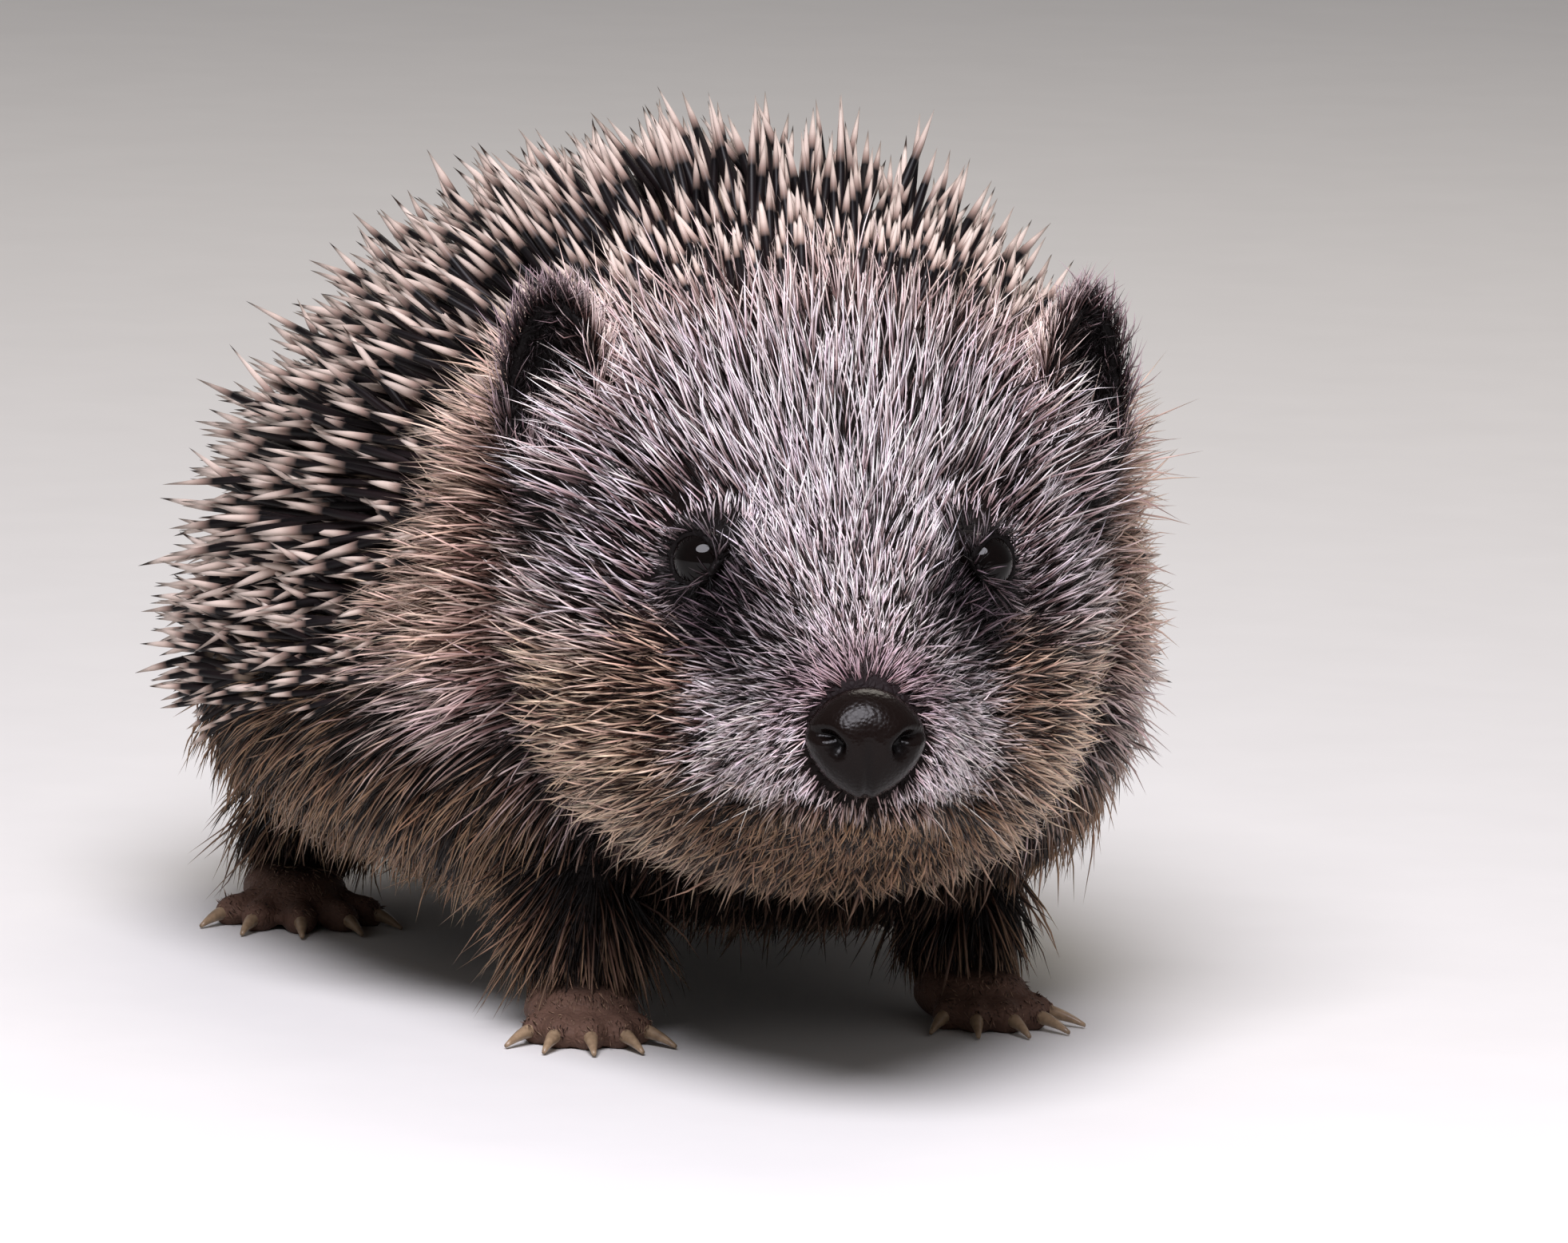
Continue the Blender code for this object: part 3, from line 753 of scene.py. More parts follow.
wet_eye = new_material("wet cornea over dark iris", wet_cornea)
for side in SIDES:
    ball = bmesh.new()
    bmesh.ops.create_uvsphere(ball, u_segments=48, v_segments=32, radius=EYE_RADIUS)
    for vert in ball.verts:
        vert.co.z *= 1.0 + CORNEA_BULGE * max(0.0, vert.co.z / EYE_RADIUS) ** 3
    bmesh.ops.transform(ball, matrix=Matrix.Scale(MM, 4) @ eye_frame(side), verts=ball.verts)
    eye = new_object(f"eyeball_{side}", ball)
    eye.data.shade_smooth()
    eye.data.materials.append(wet_eye)
    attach(eye, "root")
    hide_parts(f"eye_{side}")
print("eyes of", 2 * EYE_RADIUS, "mm")

# %% [markdown]
# The nose pad is bare, wet skin, nearly black. Its shape is a rounded button, with a nostril like a comma
# on each side that opens forwards and outwards, and a shallow groove down its middle. A button is best
# pushed into shape from a fine sphere. Its surface is pebbled in cells of about 0.4 mm, which break up the
# gloss.

# %% Nose finish


def wet_leather(tree):
    """Wet nose leather: black-brown, in pebbles of 0.4 mm that are glossy where they catch the light."""
    place = add_node(tree, "TexCoord").outputs["Object"]
    pebbles = add_node(tree, "TexVoronoi", {"feature": "F1"}, {"Scale": 2500.0}, {"Vector": place})
    hollow = add_node(tree, "Attribute", {"attribute_name": "hollow"}).outputs["Fac"]
    # Darker in the nostrils and the groove down the middle: painted shade in the hollows.
    colour = add_node(tree, "ValToRGB", links={"Fac": hollow},
                      stops=((0.0, "#110a08"), (1.0, "#060404")))
    wet = add_node(tree, "MapRange", inputs={"From Max": 0.6, "To Min": 0.14, "To Max": 0.28},
                   links={"Value": pebbles.outputs["Distance"]})
    bump = add_node(tree, "Bump", {"invert": True}, {"Strength": 0.45, "Distance": 0.00007},
                    {"Height": pebbles.outputs["Distance"]})
    return ({"IOR": 1.34, "Specular IOR Level": 0.25},
            {"Base Color": colour.outputs["Color"], "Roughness": wet.outputs["Result"],
             "Normal": bump.outputs["Normal"]})


# %% Nose pad
NOSE_BACK, NOSE_HEIGHT, NOSE_SIZE = 3.9, 38.0, (5.3, 3.9, 5.3)

button = bmesh.new()
bmesh.ops.create_uvsphere(button, u_segments=96, v_segments=64, radius=1.0)
nose = new_object("nose_pad", button)
round_shape = read(nose.data.vertices, "co", 3)
x, y, z = round_shape.T
front = smooth(0.35, -0.3, y)  # -Y is ahead
aside = np.abs(x)
groove = np.exp(-((x / 0.085) ** 2)) * smooth(0.30, -0.25, z) * front
curl = 0.55 + 0.13 * smooth(-0.05, 0.35, z)  # the comma's tail curls outward and up
nostril = np.exp(-(((aside - curl) / 0.15) ** 2 + ((z + 0.02) / 0.23) ** 2)) * front
tail_of_comma = np.exp(-(((aside - 0.78) / 0.13) ** 2 + ((z - 0.16) / 0.09) ** 2)) * front * 0.7
hollow = np.clip(nostril + tail_of_comma, 0.0, 1.0)
rim = np.exp(-(((aside - 0.52) / 0.30) ** 2 + ((z + 0.02) / 0.42) ** 2)) * front * 0.10
shaped = round_shape * (1.0 + rim - 0.07 * groove - 0.34 * hollow)[:, None]
shaped[:, 0] *= 1.0 + 0.07 * np.exp(-(((z - 0.15) / 0.45) ** 2)) - 0.08 * smooth(-0.1, -1.0, z)
shaped[:, 2] *= np.where(shaped[:, 2] > 0, 0.93, 1.0 + 0.08 * np.exp(-((x / 0.3) ** 2)))
set_places(nose.data, moved(shaped * np.array(NOSE_SIZE), placed(NOSE_BACK, 0.0, NOSE_HEIGHT)) * MM)
# The hollow attribute darkens the nostrils and groove in the finish: painted shade.
set_attribute(nose.data, "hollow", np.clip(hollow * 1.6 + 0.4 * groove, 0.0, 1.0))
nose.data.shade_smooth()
nose.data.materials.append(new_material("wet nose leather", wet_leather))
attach(nose, "root")
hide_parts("nose")
print("nose pad:", len(nose.data.polygons), "faces")

# %% [markdown]
# The claws are pale brown horn, one on each of the twenty toes: longer in front, and curving down to blunt
# tips. Each is a small ring extruded ahead along the toe, and lowered and narrowed at every step.

# %% Claws
CLAW_RADIUS, CLAW_STEPS = 0.75, 7


def claw_horn(tree):
    """Claw horn: smooth keratin, darker in some of its 0.7 mm layers than in others, with fine wear."""
    place = add_node(tree, "TexCoord").outputs["Object"]
    layers = add_node(tree, "TexNoise", None, {"Scale": 1500.0, "Detail": 3.0}, {"Vector": place})
    colour = add_node(tree, "ValToRGB", links={"Fac": layers.outputs["Fac"]},
                      stops=((0.0, "#5b4635"), (1.0, "#b39a7c")))
    bump = add_node(tree, "Bump", inputs={"Strength": 0.3, "Distance": 0.00006},
                    links={"Height": layers.outputs["Fac"]})
    return {"Roughness": 0.34}, {"Base Color": colour.outputs["Color"], "Normal": bump.outputs["Normal"]}


def add_claw(bm, matrix, start, height, length):
    """Extrudes one claw from a ring at the toe's end, curving down and narrowing as it goes."""
    place = matrix @ Matrix.Translation((0, -start, height)) @ Matrix.Rotation(math.radians(90.0), 4, "X")
    ring = bmesh.ops.create_circle(bm, segments=10, radius=CLAW_RADIUS, cap_ends=True, matrix=place)["verts"]
    face = ring[0].link_faces[0]
    centre, wide = Vector((0, -start, height)), 1.0
    for i in range(1, CLAW_STEPS + 1):
        share = i / CLAW_STEPS
        drop = -(height - 0.45) * share**1.7
        after, narrow = Vector((0, -start - length * share, height + drop * 0.62)), 1.0 - 0.72 * share**1.25
        face = bmesh.ops.extrude_discrete_faces(bm, faces=[face])["faces"][0]
        bmesh.ops.translate(bm, verts=face.verts, vec=matrix.to_3x3() @ (after - centre))
        about_middle = Matrix.Translation(-(matrix @ after))
        bmesh.ops.scale(bm, verts=face.verts, vec=(narrow / wide,) * 3, space=about_middle)
        centre, wide = after, narrow


claws_mesh = bmesh.new()
for name in LEGS:
    paw = PAWS[name.split("_")[0]]
    for toe_at, reach in toe_frames(name):
        add_claw(claws_mesh, toe_at, reach + paw.toe * 0.40, paw.toe_radius * 1.12, paw.claw + 0.2)
bmesh.ops.recalc_face_normals(claws_mesh, faces=claws_mesh.faces)
bmesh.ops.scale(claws_mesh, vec=(MM, MM, MM), verts=claws_mesh.verts)
claws = new_object("claws", claws_mesh)
claws.data.shade_smooth()
claws.data.materials.append(new_material("claw horn", claw_horn))
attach(claws, "root")
print("claws:", len(claws.data.polygons), "faces")

# %% [markdown]
# Hairs and spines could be particles or curves, but those don't survive as a mesh. So each one is a thin
# solid strand: a few small rings along a bent centre line, closed at its root and drawn to a point. All
# strands of one kind share the same pattern of faces, so a whole piece of coat is written at once from
# arrays. Each strand also gets a tiny patch of its own on the skin's unwrap, at the place of its root.

# %% Shapes of strands
ROOT_DEPTH = 0.25


def along_skin(way, normal):
    """Turns directions so that they run along the skin."""
    return unit(way - normal * (way * normal).sum(1, keepdims=True))


def bend(rooted, aim, length, lift, settle, sway, droop, rings):
    """Centre lines of strands: steep at the root, and lying flatter towards the tip."""
    across = unit(np.cross(rooted["normal"], aim))
    centres = [rooted["place"] - rooted["normal"] * ROOT_DEPTH]
    for i in range(rings):
        share = (i + 0.5) / rings
        angle = (lift * (1.0 - settle * share))[:, None]
        way = aim * np.cos(angle) + rooted["normal"] * np.sin(angle) + across * (sway * share)[:, None]
        way[:, 2] -= droop * share
        centres.append(centres[-1] + unit(way) * (length / rings)[:, None])
    return np.stack(centres, 1)


def gather(centres, share, group):
    """Draws the tips of neighbouring strands together by a share, into tufts of about `group`."""
    leaders = centres[::group, 0][: len(centres) // group]
    tree = KDTree(len(leaders))
    for i, place in enumerate(leaders):
        tree.insert(place, i)
    tree.balance()
    leader = np.array([tree.find(place)[1] for place in centres[:, 0]]) * group
    steps = np.linspace(0.0, 1.0, centres.shape[1]) ** 1.4 * share
    return mix(centres, centres[leader], steps[None, :, None])


# %% Strands as a mesh
PATCH = 0.003


def strand_faces(rings, sides):
    """The corners of one strand's faces, and how many corners each face has."""
    faces = [tuple(range(sides))[::-1]]
    for ring in range(rings - 1):
        for k in range(sides):
            here, over = ring * sides + k, ring * sides + (k + 1) % sides
            faces.append((here, over, over + sides, here + sides))
    last = (rings - 1) * sides
    faces += [(last + k, last + (k + 1) % sides, rings * sides) for k in range(sides)]
    return np.concatenate(faces), np.array([len(face) for face in faces])


def strand_places(rooted, centres, width, profile, sides):
    """Every strand's vertices: a ring for each share of the width in the profile, and then the tip."""
    count, rings = len(centres), len(profile)
    way = unit(np.diff(centres, axis=1))
    across = unit(np.cross(way[:, 0], rooted["normal"]) + 1e-6)[:, None, :]
    other = unit(np.cross(way, np.broadcast_to(across, way.shape)))
    turn = 2.0 * math.pi * np.arange(sides)[:, None] / sides
    circle = across[:, :, None, :] * np.cos(turn) + other[:, :, None, :] * np.sin(turn)
    radius = (np.broadcast_to(width, count)[:, None] * np.asarray(profile) / 2.0)[:, :, None, None]
    rings_at = centres[:, :rings, None, :] + circle * radius
    return np.concatenate([rings_at.reshape(count, rings * sides, 3), centres[:, rings:, :]], 1)


def make_strands(name, slot, finish, rooted, centres, width, profile, sides, **looks):
    """A piece of joined strands. Its looks are a tone for every step or one number for each strand."""
    count, rings, per_strand = len(centres), len(profile), len(profile) * sides + 1
    places = strand_places(rooted, centres, width, profile, sides)
    corners_of_one, sizes_of_one = strand_faces(rings, sides)
    loops = (corners_of_one + np.arange(count)[:, None] * per_strand).ravel()
    starts = np.cumsum(np.tile(sizes_of_one, count)) - np.tile(sizes_of_one, count)
    mesh = bpy.data.meshes.new(name)
    mesh.vertices.add(count * per_strand)
    mesh.loops.add(len(loops))
    mesh.polygons.add(len(starts))
    mesh.vertices.foreach_set("co", (places * MM).astype(np.float32).ravel())
    mesh.loops.foreach_set("vertex_index", loops.astype(np.int32))
    mesh.polygons.foreach_set("loop_start", starts.astype(np.int32))
    mesh.update(calc_edges=True)
    mesh.shade_smooth()
    along = np.concatenate([np.repeat(np.arange(rings) / rings, sides), [1.0]])
    aside = np.concatenate([np.tile(np.arange(sides) / (sides - 1), rings), [0.5]])
    patch = np.stack([aside - 0.5, along - 0.5], 1) * PATCH
    flat = np.clip(rooted["uv"][:, None, :] + patch, 0.0, 1.0).reshape(-1, 2)
    mesh.uv_layers.new(name="OFBake")
    mesh.uv_layers["OFBake"].uv.foreach_set("vector", flat[loops].astype(np.float32).ravel())
    for key, values in looks.items():
        if values.ndim == 3:
            rings_of = np.repeat(values[:, :rings], sides, axis=1)
            values = np.concatenate([rings_of, values[:, rings:]], 1).reshape(-1, 3)
        else:
            values = np.repeat(values, per_strand)
        set_attribute(mesh, key, values)
    set_attribute(mesh, "along", np.tile(along, count))
    mesh.materials.append(finish)
    made = link_object(name, mesh)
    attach(made, "root")
    print(name, count, "strands", count * int((sizes_of_one - 2).sum()), "triangles")


# %% [markdown]
# Strands are planted at random over the skin's triangles, more thickly where hairs are short. The coat's
# lie is a field of directions over the whole body. On the face it radiates from the nose and parts round
# the eyes, behind the ears it turns back and down along the body, and on the legs it runs down to the toes.

# %% Planting
middles = corners.mean(axis=1)
middle_back, _, middle_height = body_coordinates(middles)
middle_inset = mantle_inset(middle_back, middle_height)
on_ear = ear_share(middles)
inside_ear = np.zeros(len(triangles))  # 1 where the skin faces into the cup of an ear
for at in ears.values():
    facing = (triangle_normals * unit(middles - at)).sum(1)
    inside_ear = np.maximum(inside_ear, smooth(-0.1, -0.35, facing) * (distance_to(middles, [at]) < 11.0))
nose_at = body_point(NOSE_BACK + 0.6, 0.0, NOSE_HEIGHT)
bare = (distance_to(middles, eyes.values()) < EYE_RADIUS + 0.1) | (distance_to(middles, [nose_at]) < 5.1)
soles = ((middle_height < 4.5) & (triangle_normals[:, 2] < 0.15)) | (middle_height < 1.6)
coated_areas = np.where(bare | soles, 0.0, triangle_areas)


def plant(count, density):
    """Random root places with their normals and their places on the unwrap."""
    weight = coated_areas * density
    pick = chance.choice(len(triangles), count, p=weight / weight.sum())
    share = chance.random((count, 2))
    share = np.where(share.sum(1, keepdims=True) > 1.0, 1.0 - share, share)
    share = np.concatenate([1.0 - share.sum(1, keepdims=True), share], 1)[:, :, None]
    return {
        "place": (corners[pick] * share).sum(1),
        "normal": unit((skin_normals[triangles[pick]] * share).sum(1)),
        "uv": (skin_uv[pick] * share).sum(1),
    }


print("skin with coat:", round(float(coated_areas.sum())), "square millimetres")

# %% The lie of the coat
RADIATE_FROM = body_point(5.0, 0.0, 41.0)


def lie_of_coat(rooted, jitter):
    """The direction along the skin in which the coat lies at each root, with some disorder."""
    place = rooted["place"]
    back, _, height = body_coordinates(place)
    backward, _ = body_axes(back)
    drop = 0.6 * smooth(38.0, 22.0, height) + 1.1 * smooth(140.0, 176.0, back)
    along_body = backward * 0.85 + DOWN * drop[:, None]
    way = mix(unit(place - RADIATE_FROM), along_body, smooth(40.0, 64.0, back)[:, None])
    way = mix(way, DOWN * 0.9 - backward * 0.25, smooth(14.0, 8.0, height)[:, None])  # legs
    way = mix(way, -backward, smooth(6.0, 4.0, height)[:, None])  # paws
    for at in eyes.values():
        near = smooth(7.0, 3.4, distance_to(place, [at]))[:, None]
        way = way + unit(place - at) * near * 1.6
    for side in SIDES:
        share = ear_share(place) * (distance_to(place, [ears[side]]) < 14.0)
        way = mix(way, np.array(ear_frame(side))[:3, 2], share[:, None])
    way = way + chance.normal(0.0, 1.0, place.shape) * jitter
    return along_skin(way, rooted["normal"])


def lean_out(rooted, jitter):
    """The lie of the coat, leant half out from the head on its own side, and how far back each root is."""
    back, out, _ = body_coordinates(rooted["place"])
    aim = lie_of_coat(rooted, jitter) + body_axes(back)[1] * np.sign(out)[:, None] * 0.5
    return along_skin(aim, rooted["normal"]), back


print("the coat radiates from", np.round(RADIATE_FROM, 1).tolist())

# %% [markdown]
# One fibre of fur is a pale or dark shaft of keratin, darkened towards its root with painted shade. Guard
# hairs are long and stand above a shorter, darker underfur. The colour of each fibre is drawn at random from
# the markings of its own spot of skin, so the pale forehead, the dark eye patches and the brown flanks come
# out of one rule.

# %% Fur finish


def hair_keratin(tree, roughness):
    """Hair keratin: a soft silky gloss, and a faint unevenness of 1.1 mm along and between the hairs."""
    place = add_node(tree, "TexCoord").outputs["Object"]
    tone = add_node(tree, "Attribute", {"attribute_name": "tone"}).outputs["Color"]
    scales = add_node(tree, "TexNoise", None, {"Scale": 900.0, "Detail": 2.0}, {"Vector": place})
    colour = vary(tree, tone, scales.outputs["Fac"], 0.86, 1.14)
    return {"Roughness": roughness, "IOR": 1.55, "Specular IOR Level": 0.2}, {"Base Color": colour}


face_fur = new_material("silvery face hair", hair_keratin, 0.42)
body_fur = new_material("coarse flank hair", hair_keratin, 0.48)
print("fur finishes:", face_fur.name, "and", body_fur.name)

# %% Colours and lengths of fibres
# Share of the underfur's colour kept at a fibre's root: painted shade down among the roots.
ROOT_PAINTED_SHADE = 0.18


def fibre_tones(place, steps, pale_bias=1.0):
    """A colour for each step of each fibre, from a root darkened with painted shade to its own colour, and
    how pale each is.
    """
    dark, pale, share = markings(place)
    pick = chance.random(len(place))
    share = np.clip(share * pale_bias, 0.0, 0.95)
    paleness = np.where(pick < share, 1.0, np.where(pick < share + 0.13 * (1 - share), 0.35, 0.0))
    own = mix(dark, pale, paleness[:, None]) * np.exp(chance.normal(0.0, 0.16, (len(place), 1)))
    own = (own * np.exp(chance.normal(0.0, 0.025, (len(place), 3))))[:, None, :]
    root = (dark * ROOT_PAINTED_SHADE)[:, None, :]
    along = smooth(0.12, 0.90, np.linspace(0.0, 1.0, steps + 1))[None, :, None]
    by_eye = smooth(8.5, 5.0, distance_to(place, eyes.values()))
    shortest = np.maximum(by_eye, smooth(12.0, 7.0, distance_to(place, [nose_at])))
    # Where the fur is shortest, near the eyes and nose, the roots get less painted shade.
    along = mix(along, 1.0, 0.5 * shortest[:, None, None])  # the roots show where the fur is shortest
    warm = 1.0 - (1.0 - along) * np.array([0.0, 0.40, 0.45])  # the lower half of a hair is the warmer one
    return mix(root, own * warm, along), paleness


def tail_share(points):
    """1 on the free part of the tail and 0 elsewhere."""
    local = moved(points, tail_at.inverted())
    return smooth(7.0, 5.0, np.hypot(local[:, 0], local[:, 2])) * smooth(0.0, 4.0, local[:, 1])


def fur_length(place):
    """Length of the guard hairs in millimetres: two by the nose, and twelve on the neck and flank."""
    back, _, height = body_coordinates(place)
    long = np.interp(back, [3, 8, 13, 20, 27, 35, 44, 54, 64, 80],
                     [2.0, 3.5, 5.0, 6.3, 7.8, 9.6, 11.6, 12.4, 11.8, 12.4])
    low_face = smooth(40.0, 30.0, height) * smooth(56.0, 40.0, back)
    long = long * (1.0 + 0.25 * low_face * smooth(12.0, 24.0, back))
    long = mix(long, 3.2, smooth(9.0, 4.5, distance_to(place, eyes.values())))
    long = long + (4.6 - long) * smooth(13.0, 8.0, height) * smooth(52.0, 60.0, back)  # legs
    long = mix(long, 3.4, tail_share(place))
    long = mix(long, 1.7, smooth(6.0, 4.5, height))  # paws
    long = long + 1.5 * smooth(16.0, 8.0, distance_to(place, ears.values()))
    long = mix(long, 3.0, smooth(10.0, 5.5, distance_to(place, FEET_OF_EARS)))
    long = long * (1.0 - 0.2 * smooth(8.0, 3.5, distance_to(place, BEFORE_EARS)))
    return mix(long, 4.8, ear_share(place))


print("flank fur is", fur_length(np.array([body_point(120.0, 40.0, 20.0)])).round(1), "mm long")

# %% [markdown]
# Each piece of fur plants its own share of the fibres. Its width, lift off the skin, disorder and tufting
# differ from part to part: face hair is fine and close, flank fur is coarse and clings together in tufts,
# and the fur stands up where it meets the spines and the ears.

# %% Fur
TUFT, PALE_HAIR, UNDERFUR = 7, 0.9, 0.72  # fibres in a tuft, least paleness of guard hair, underfur's share


def make_fur_piece(name, slot, finish, count, density, rings, width, lift, jitter, tufts, droop=0.0,
                   scale=1.0, pale_bias=1.0):
    rooted = plant(count, density)
    place = rooted["place"]
    tones, paleness = fibre_tones(place, rings, pale_bias)
    full = fur_length(place) * scale
    length = full * np.where(paleness > PALE_HAIR, 1.0, UNDERFUR) * np.exp(chance.normal(0.0, 0.16, count))
    aim = lie_of_coat(rooted, jitter)
    back, _, height = body_coordinates(place)
    rise = 1.0 + 1.1 * smooth(-8.0, 3.0, mantle_inset(back, height)) * smooth(50.0, 60.0, height)
    near_ear = smooth(18.0, 10.0, distance_to(place, ears.values()))
    rise += near_ear * np.maximum(0.8 * smooth(57.0, 64.0, height), 1.1 * smooth(51.0, 57.0, back))
    lifted = np.radians(lift) * rise * np.clip(1.0 + chance.normal(0.0, 0.3, count), 0.3, 2.2)
    centres = bend(rooted, aim, length, lifted, 0.7, chance.normal(0.0, 0.16, count), droop, rings)
    centres = gather(centres, tufts, TUFT)
    centres[:, :, 2] = np.maximum(centres[:, :, 2], 0.5)
    thick = width * np.clip(0.62 + full / 16.0, 0.7, 1.3) * np.where(paleness > PALE_HAIR, 1.12, 0.80)
    thick = thick * np.exp(chance.normal(0.0, 0.14, count))
    profile = np.interp(np.linspace(0.0, 1.0, rings + 1)[:-1], [0.0, 0.4, 0.8], [0.75, 1.0, 0.62])
    make_strands(name, slot, finish, rooted, centres, thick, profile, 3, tone=tones)


round_ears = smooth(14.0, 11.0, distance_to(middles, ears.values()))
fur_edge = smooth(9.0, -1.0, middle_inset - 6.0 * smooth(54.0, 64.0, middle_height) + 4.0)
on_head = smooth(70.0, 60.0, middle_back) * (1.0 - on_ear) * np.maximum(fur_edge, round_ears)
muzzle = on_head * smooth(34.0, 22.0, middle_back)
muzzle = muzzle / np.interp(middle_back, [3, 10, 20, 30], [1.6, 2.2, 3.4, 6.0])
cheeks = on_head * smooth(18.0, 30.0, middle_back)
cheeks = cheeks / np.interp(middle_back, [20, 30, 45], [3.6, 5.5, 8.5])
neck = smooth(50.0, 60.0, middle_back) * smooth(98.0, 86.0, middle_back) * smooth(28.0, 38.0, middle_height)
flanks = smooth(50.0, 58.0, middle_back) * smooth(2.5, -1.5, middle_inset) * (1.0 - on_ear)
flanks = flanks * smooth(7.0, 11.0, middle_height) * (1.0 + 1.6 * neck)
legs = smooth(52.0, 58.0, middle_back) * smooth(14.0, 9.0, middle_height)
for i in (1, 2):
    make_fur_piece(f"face_hair_short_{i}", "face_fur", face_fur, 11500, muzzle, rings=3, width=0.205,
                   lift=25.0, jitter=0.20, tufts=0.16)
for i in (1, 2):
    make_fur_piece(f"face_hair_long_{i}", "face_fur", face_fur, 11500, cheeks, rings=3, width=0.175,
                   lift=17.0, jitter=0.13, tufts=0.10)
for i in (1, 2):
    make_fur_piece(f"body_fur_{i}", "body_fur", body_fur, 12000, flanks, rings=3, width=0.185, lift=22.0,
                   jitter=0.15, tufts=0.26, droop=0.25)
make_fur_piece("leg_fur", "body_fur", body_fur, 7500, legs, rings=2, width=0.22, lift=16.0, jitter=0.16,
               tufts=0.25)
make_fur_piece("ear_fur", "ear_skin", face_fur, 4400, on_ear * (1.0 - inside_ear), rings=3, width=0.15,
               lift=17.0, jitter=0.34, tufts=0.25)
make_fur_piece("fur_inside_ears", "ear_skin", face_fur, 1500, on_ear * inside_ear, rings=2, width=0.16,
               lift=26.0, jitter=0.45, tufts=0.2, scale=0.7, pale_bias=0.1)

# %% [markdown]
# The opening of each ear is bare and dark, but long pale hairs grow from the fur in front of it and cross
# over it. They are planted round three spots by each ear, and each is drawn out thin.

# %% Long hairs before the ears
by_ears = np.zeros(len(triangles))
for sign in SIDES.values():
    for back, out, height in ((42.0, 21.0, 59.0), (44.5, 20.0, 64.5), (47.0, 18.5, 69.0)):
        spot = body_point(back, sign * out, height)
        by_ears += np.exp(-((distance_to(middles, [spot]) / 4.3) ** 2))
count = 600
rooted = plant(count, by_ears * (1.0 - on_ear))
tones, _ = fibre_tones(rooted["place"], 5, 1.6)
aim, _ = lean_out(rooted, 0.12)
length = chance.normal(13.8, 2.4, count)
lift = np.radians(chance.normal(33.0, 6.0, count))
centres = bend(rooted, aim, length, lift, 0.8, chance.normal(0.0, 0.15, count), 0.0, 5)
make_strands("hairs_before_ears", "face_fur", face_fur, rooted, centres, 0.19, (0.9, 1.0, 0.9, 0.7, 0.45), 4,
             tone=tones)

# %% [markdown]
# The spines are hairs grown thick and stiff: about a millimetre across and up to two centimetres long,
# narrow at the root, even along most of their length and needle-sharp at the end. Each is cream with a dark
# band and a dark tip. They keep apart from each other, so the roots are thinned until none is closer than
# 1.6 mm to its neighbour, or 1.3 mm at the front edge of the crown, where they are finest.

# %% Spine finish


def spine_keratin(tree):
    """Spine keratin: hard, smooth and faintly glossy, banded cream and black-brown along its length."""
    along = add_node(tree, "Attribute", {"attribute_name": "along"}).outputs["Fac"]
    own = add_node(tree, "Attribute", {"attribute_name": "chance"}).outputs["Fac"]
    shift = add_node(tree, "MapRange", None, {"To Min": -0.09, "To Max": 0.07}, {"Value": own})
    where = add_node(tree, "Math", {"operation": "ADD"}, None, {0: along, 1: shift.outputs["Result"]})
    bands = add_node(tree, "ValToRGB", links={"Fac": where.outputs["Value"]},
                     stops=((0.0, "#6b5646"), (0.20, "#b8a28e"), (0.28, "#2c1f20"), (0.65, "#0c090c"),
                            (0.71, "#a88e82"), (0.78, "#e3cdbf"), (0.94, "#f0dfd3"), (0.98, "#4a3830")))
    colour = vary(tree, bands.outputs["Color"], own, 0.57, 0.76)
    return {"Roughness": 0.42, "IOR": 1.54, "Specular IOR Level": 0.15}, {"Base Color": colour}


spine_horn = new_material("banded spine keratin", spine_keratin)
print("spine finish:", spine_horn.name)

# %% Where the spines stand
SPINE_SPACING, CLOSER_AT_CROWN = 1.60, 0.20


def keep_apart(places, spacings):
    """Indices of places that are at least their own spacing from every one kept before."""
    grid, kept = {}, []
    cells = np.floor(places / spacings.max()).astype(int)
    around = [(i, j, k) for i in (-1, 0, 1) for j in (-1, 0, 1) for k in (-1, 0, 1)]
    for index, cell in enumerate(map(tuple, cells)):
        gaps = (places[index] - places[other] for i, j, k in around
                for other in grid.get((cell[0] + i, cell[1] + j, cell[2] + k), ()))
        if all(gap @ gap >= spacings[index] ** 2 for gap in gaps):
            grid.setdefault(cell, []).append(index)
            kept.append(index)
    return np.array(kept)


candidates = plant(34000, smooth(-2.0, 3.5, middle_inset) * (1.0 - on_ear) * (1.0 - round_ears))
back, _, height = body_coordinates(candidates["place"])
inset = mantle_inset(back, height)
crown = smooth(84.0, 62.0, back) * smooth(56.0, 68.0, height)
spacings = SPINE_SPACING * (1.0 - CLOSER_AT_CROWN * crown * smooth(14.0, 4.0, inset))
kept = keep_apart(candidates["place"], spacings)
spines = {key: values[kept] for key, values in candidates.items()}
back, height, inset, crown = back[kept], height[kept], inset[kept], crown[kept]
count = len(kept)
print(count, "spines have room")

# %% Spines
drop = 0.30 * smooth(66.0, 40.0, height) + 1.3 * smooth(140.0, 178.0, back)
aim = body_axes(back)[0] + DOWN * drop[:, None] + chance.normal(0.0, 0.20, (count, 3))
lift = np.radians(33.0 + 27.0 * crown - 8.0 * smooth(130.0, 170.0, back) + chance.normal(0.0, 8.0, count))
length = np.interp(inset, [0.0, 6.0, 16.0], [9.0, 13.0, 18.0]) + 1.2 * crown * smooth(16.0, 0.0, inset)
length = length * np.exp(chance.normal(0.0, 0.09, count))
length = length * (1.0 - 0.20 * crown * chance.random(count))
sway = chance.normal(0.0, 0.05, count)
centres = bend(spines, along_skin(aim, spines["normal"]), length, lift, 0.12, sway, 0.0, 5)
thick = np.interp(inset, [0.0, 10.0], [0.68, 1.0]) * np.exp(chance.normal(0.0, 0.09, count))
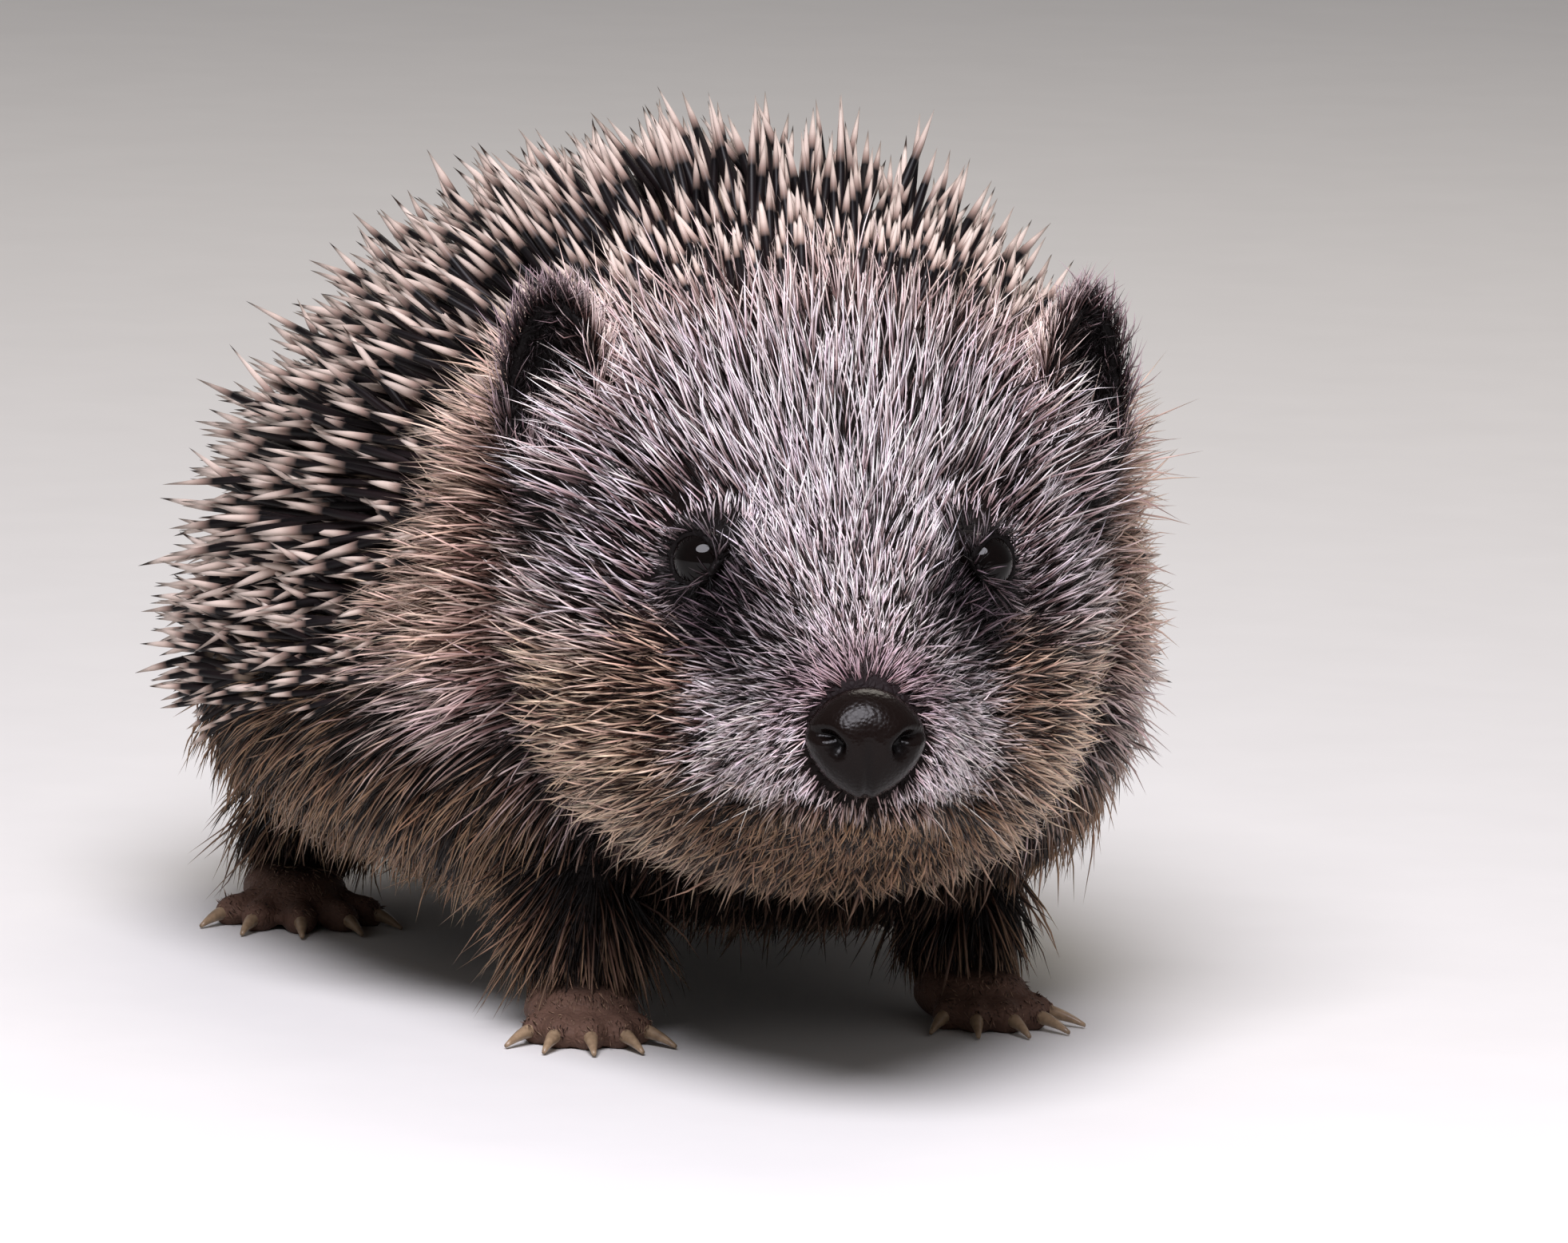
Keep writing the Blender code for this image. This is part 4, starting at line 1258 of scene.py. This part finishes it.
own = chance.random(count)
own = mix(own, 0.25 * own + 0.75 * smooth(11.0, 3.0, inset), crown)  # paler spines at the crown's front edge
for i, part in enumerate((slice(0, count // 2), slice(count // 2, count))):
    planted = {key: values[part] for key, values in spines.items()}
    make_strands(f"spines_{i + 1}", "spiny_coat", spine_horn, planted, centres[part], thick[part],
                 (0.50, 0.90, 1.0, 0.98, 0.70), 6, chance=own[part])

# %% [markdown]
# Whiskers are the stiffest hairs of the face: long, sparse and evenly curved, set in the sides of the
# muzzle.

# %% Whiskers
muzzle_sides = smooth(6.0, 9.0, middle_back) * smooth(21.0, 16.0, middle_back)
muzzle_sides = muzzle_sides * smooth(30.0, 33.0, middle_height) * smooth(43.0, 40.0, middle_height)
count = 36
rooted = plant(count, muzzle_sides)
aim, back = lean_out(rooted, 0.15)
length = np.interp(back, [6.0, 20.0], [7.0, 15.0]) * np.exp(chance.normal(0.0, 0.12, count))
lift = np.radians(chance.normal(44.0, 8.0, count))
centres = bend(rooted, aim, length, lift, 0.55, chance.normal(0.0, 0.2, count), 0.25, 7)
pale = np.where(chance.random(count) < 0.35, 1.0, 0.0)[:, None, None]
tones = mix(linear("#2a211d"), linear("#d8d0c8"), pale * np.ones((1, 8, 1)))
make_strands("whiskers", "face_fur", face_fur, rooted, centres, 0.13,
             (1.0, 0.95, 0.85, 0.72, 0.58, 0.42, 0.25), 5, tone=tones)

# %% [markdown]
# The studio is plain: a pale floor that goes on as a pale world, one broad soft light above the camera,
# which also puts the highlight in the eyes, and a weaker one behind to lift the spines off the floor.

# %% Studio


def painted_board(tree):
    """Matt painted board: pale and even, with only a trace of grain, 17 mm across."""
    place = add_node(tree, "TexCoord").outputs["Object"]
    grain = add_node(tree, "TexNoise", None, {"Scale": 60.0, "Detail": 3.0}, {"Vector": place})
    colour = add_node(tree, "ValToRGB", links={"Fac": grain.outputs["Fac"]},
                      stops=((0.0, "#d6d5d2"), (1.0, "#dcdbd8")))
    return {"Roughness": 0.9, "Specular IOR Level": 0.2}, {"Base Color": colour.outputs["Color"]}


def add_softbox(name, azimuth, elevation, distance, size, watts, colour):
    """An oval area light that faces the animal from an azimuth and elevation, as the camera's are counted."""
    data = bpy.data.lights.new(name, "AREA")
    data.shape = "ELLIPSE"
    data.size, data.size_y = size
    data.energy = watts
    data.color = tuple(linear(colour))
    light = link_object(name, data)
    way = towards(azimuth, elevation)
    light.location = Vector((0.0, 0.0, 0.05)) + way * distance
    light.rotation_euler = way.to_track_quat("Z", "Y").to_euler()


board = bmesh.new()
bmesh.ops.create_circle(board, cap_ends=True, segments=96, radius=7.0)
floor = new_object("floor", board)
floor.data.materials.append(new_material("matt painted board", painted_board))
world = bpy.data.worlds.new("studio")
world.use_nodes = True
world.node_tree.nodes["Background"].inputs["Color"].default_value = (*linear("#ebe8ea"), 1.0)
world.node_tree.nodes["Background"].inputs["Strength"].default_value = 0.26
bpy.context.scene.world = world
add_softbox("sky_softbox", -24.0, 50.0, 0.9, (0.62, 0.50), 13.4, "#f8f5ff")
add_softbox("rim_light", 150.0, 50.0, 1.0, (0.6, 0.4), 2.6, "#fff6ea")
bpy.context.scene.view_settings.view_transform = "Standard"
print("studio lights:", [light.name for light in bpy.data.lights])
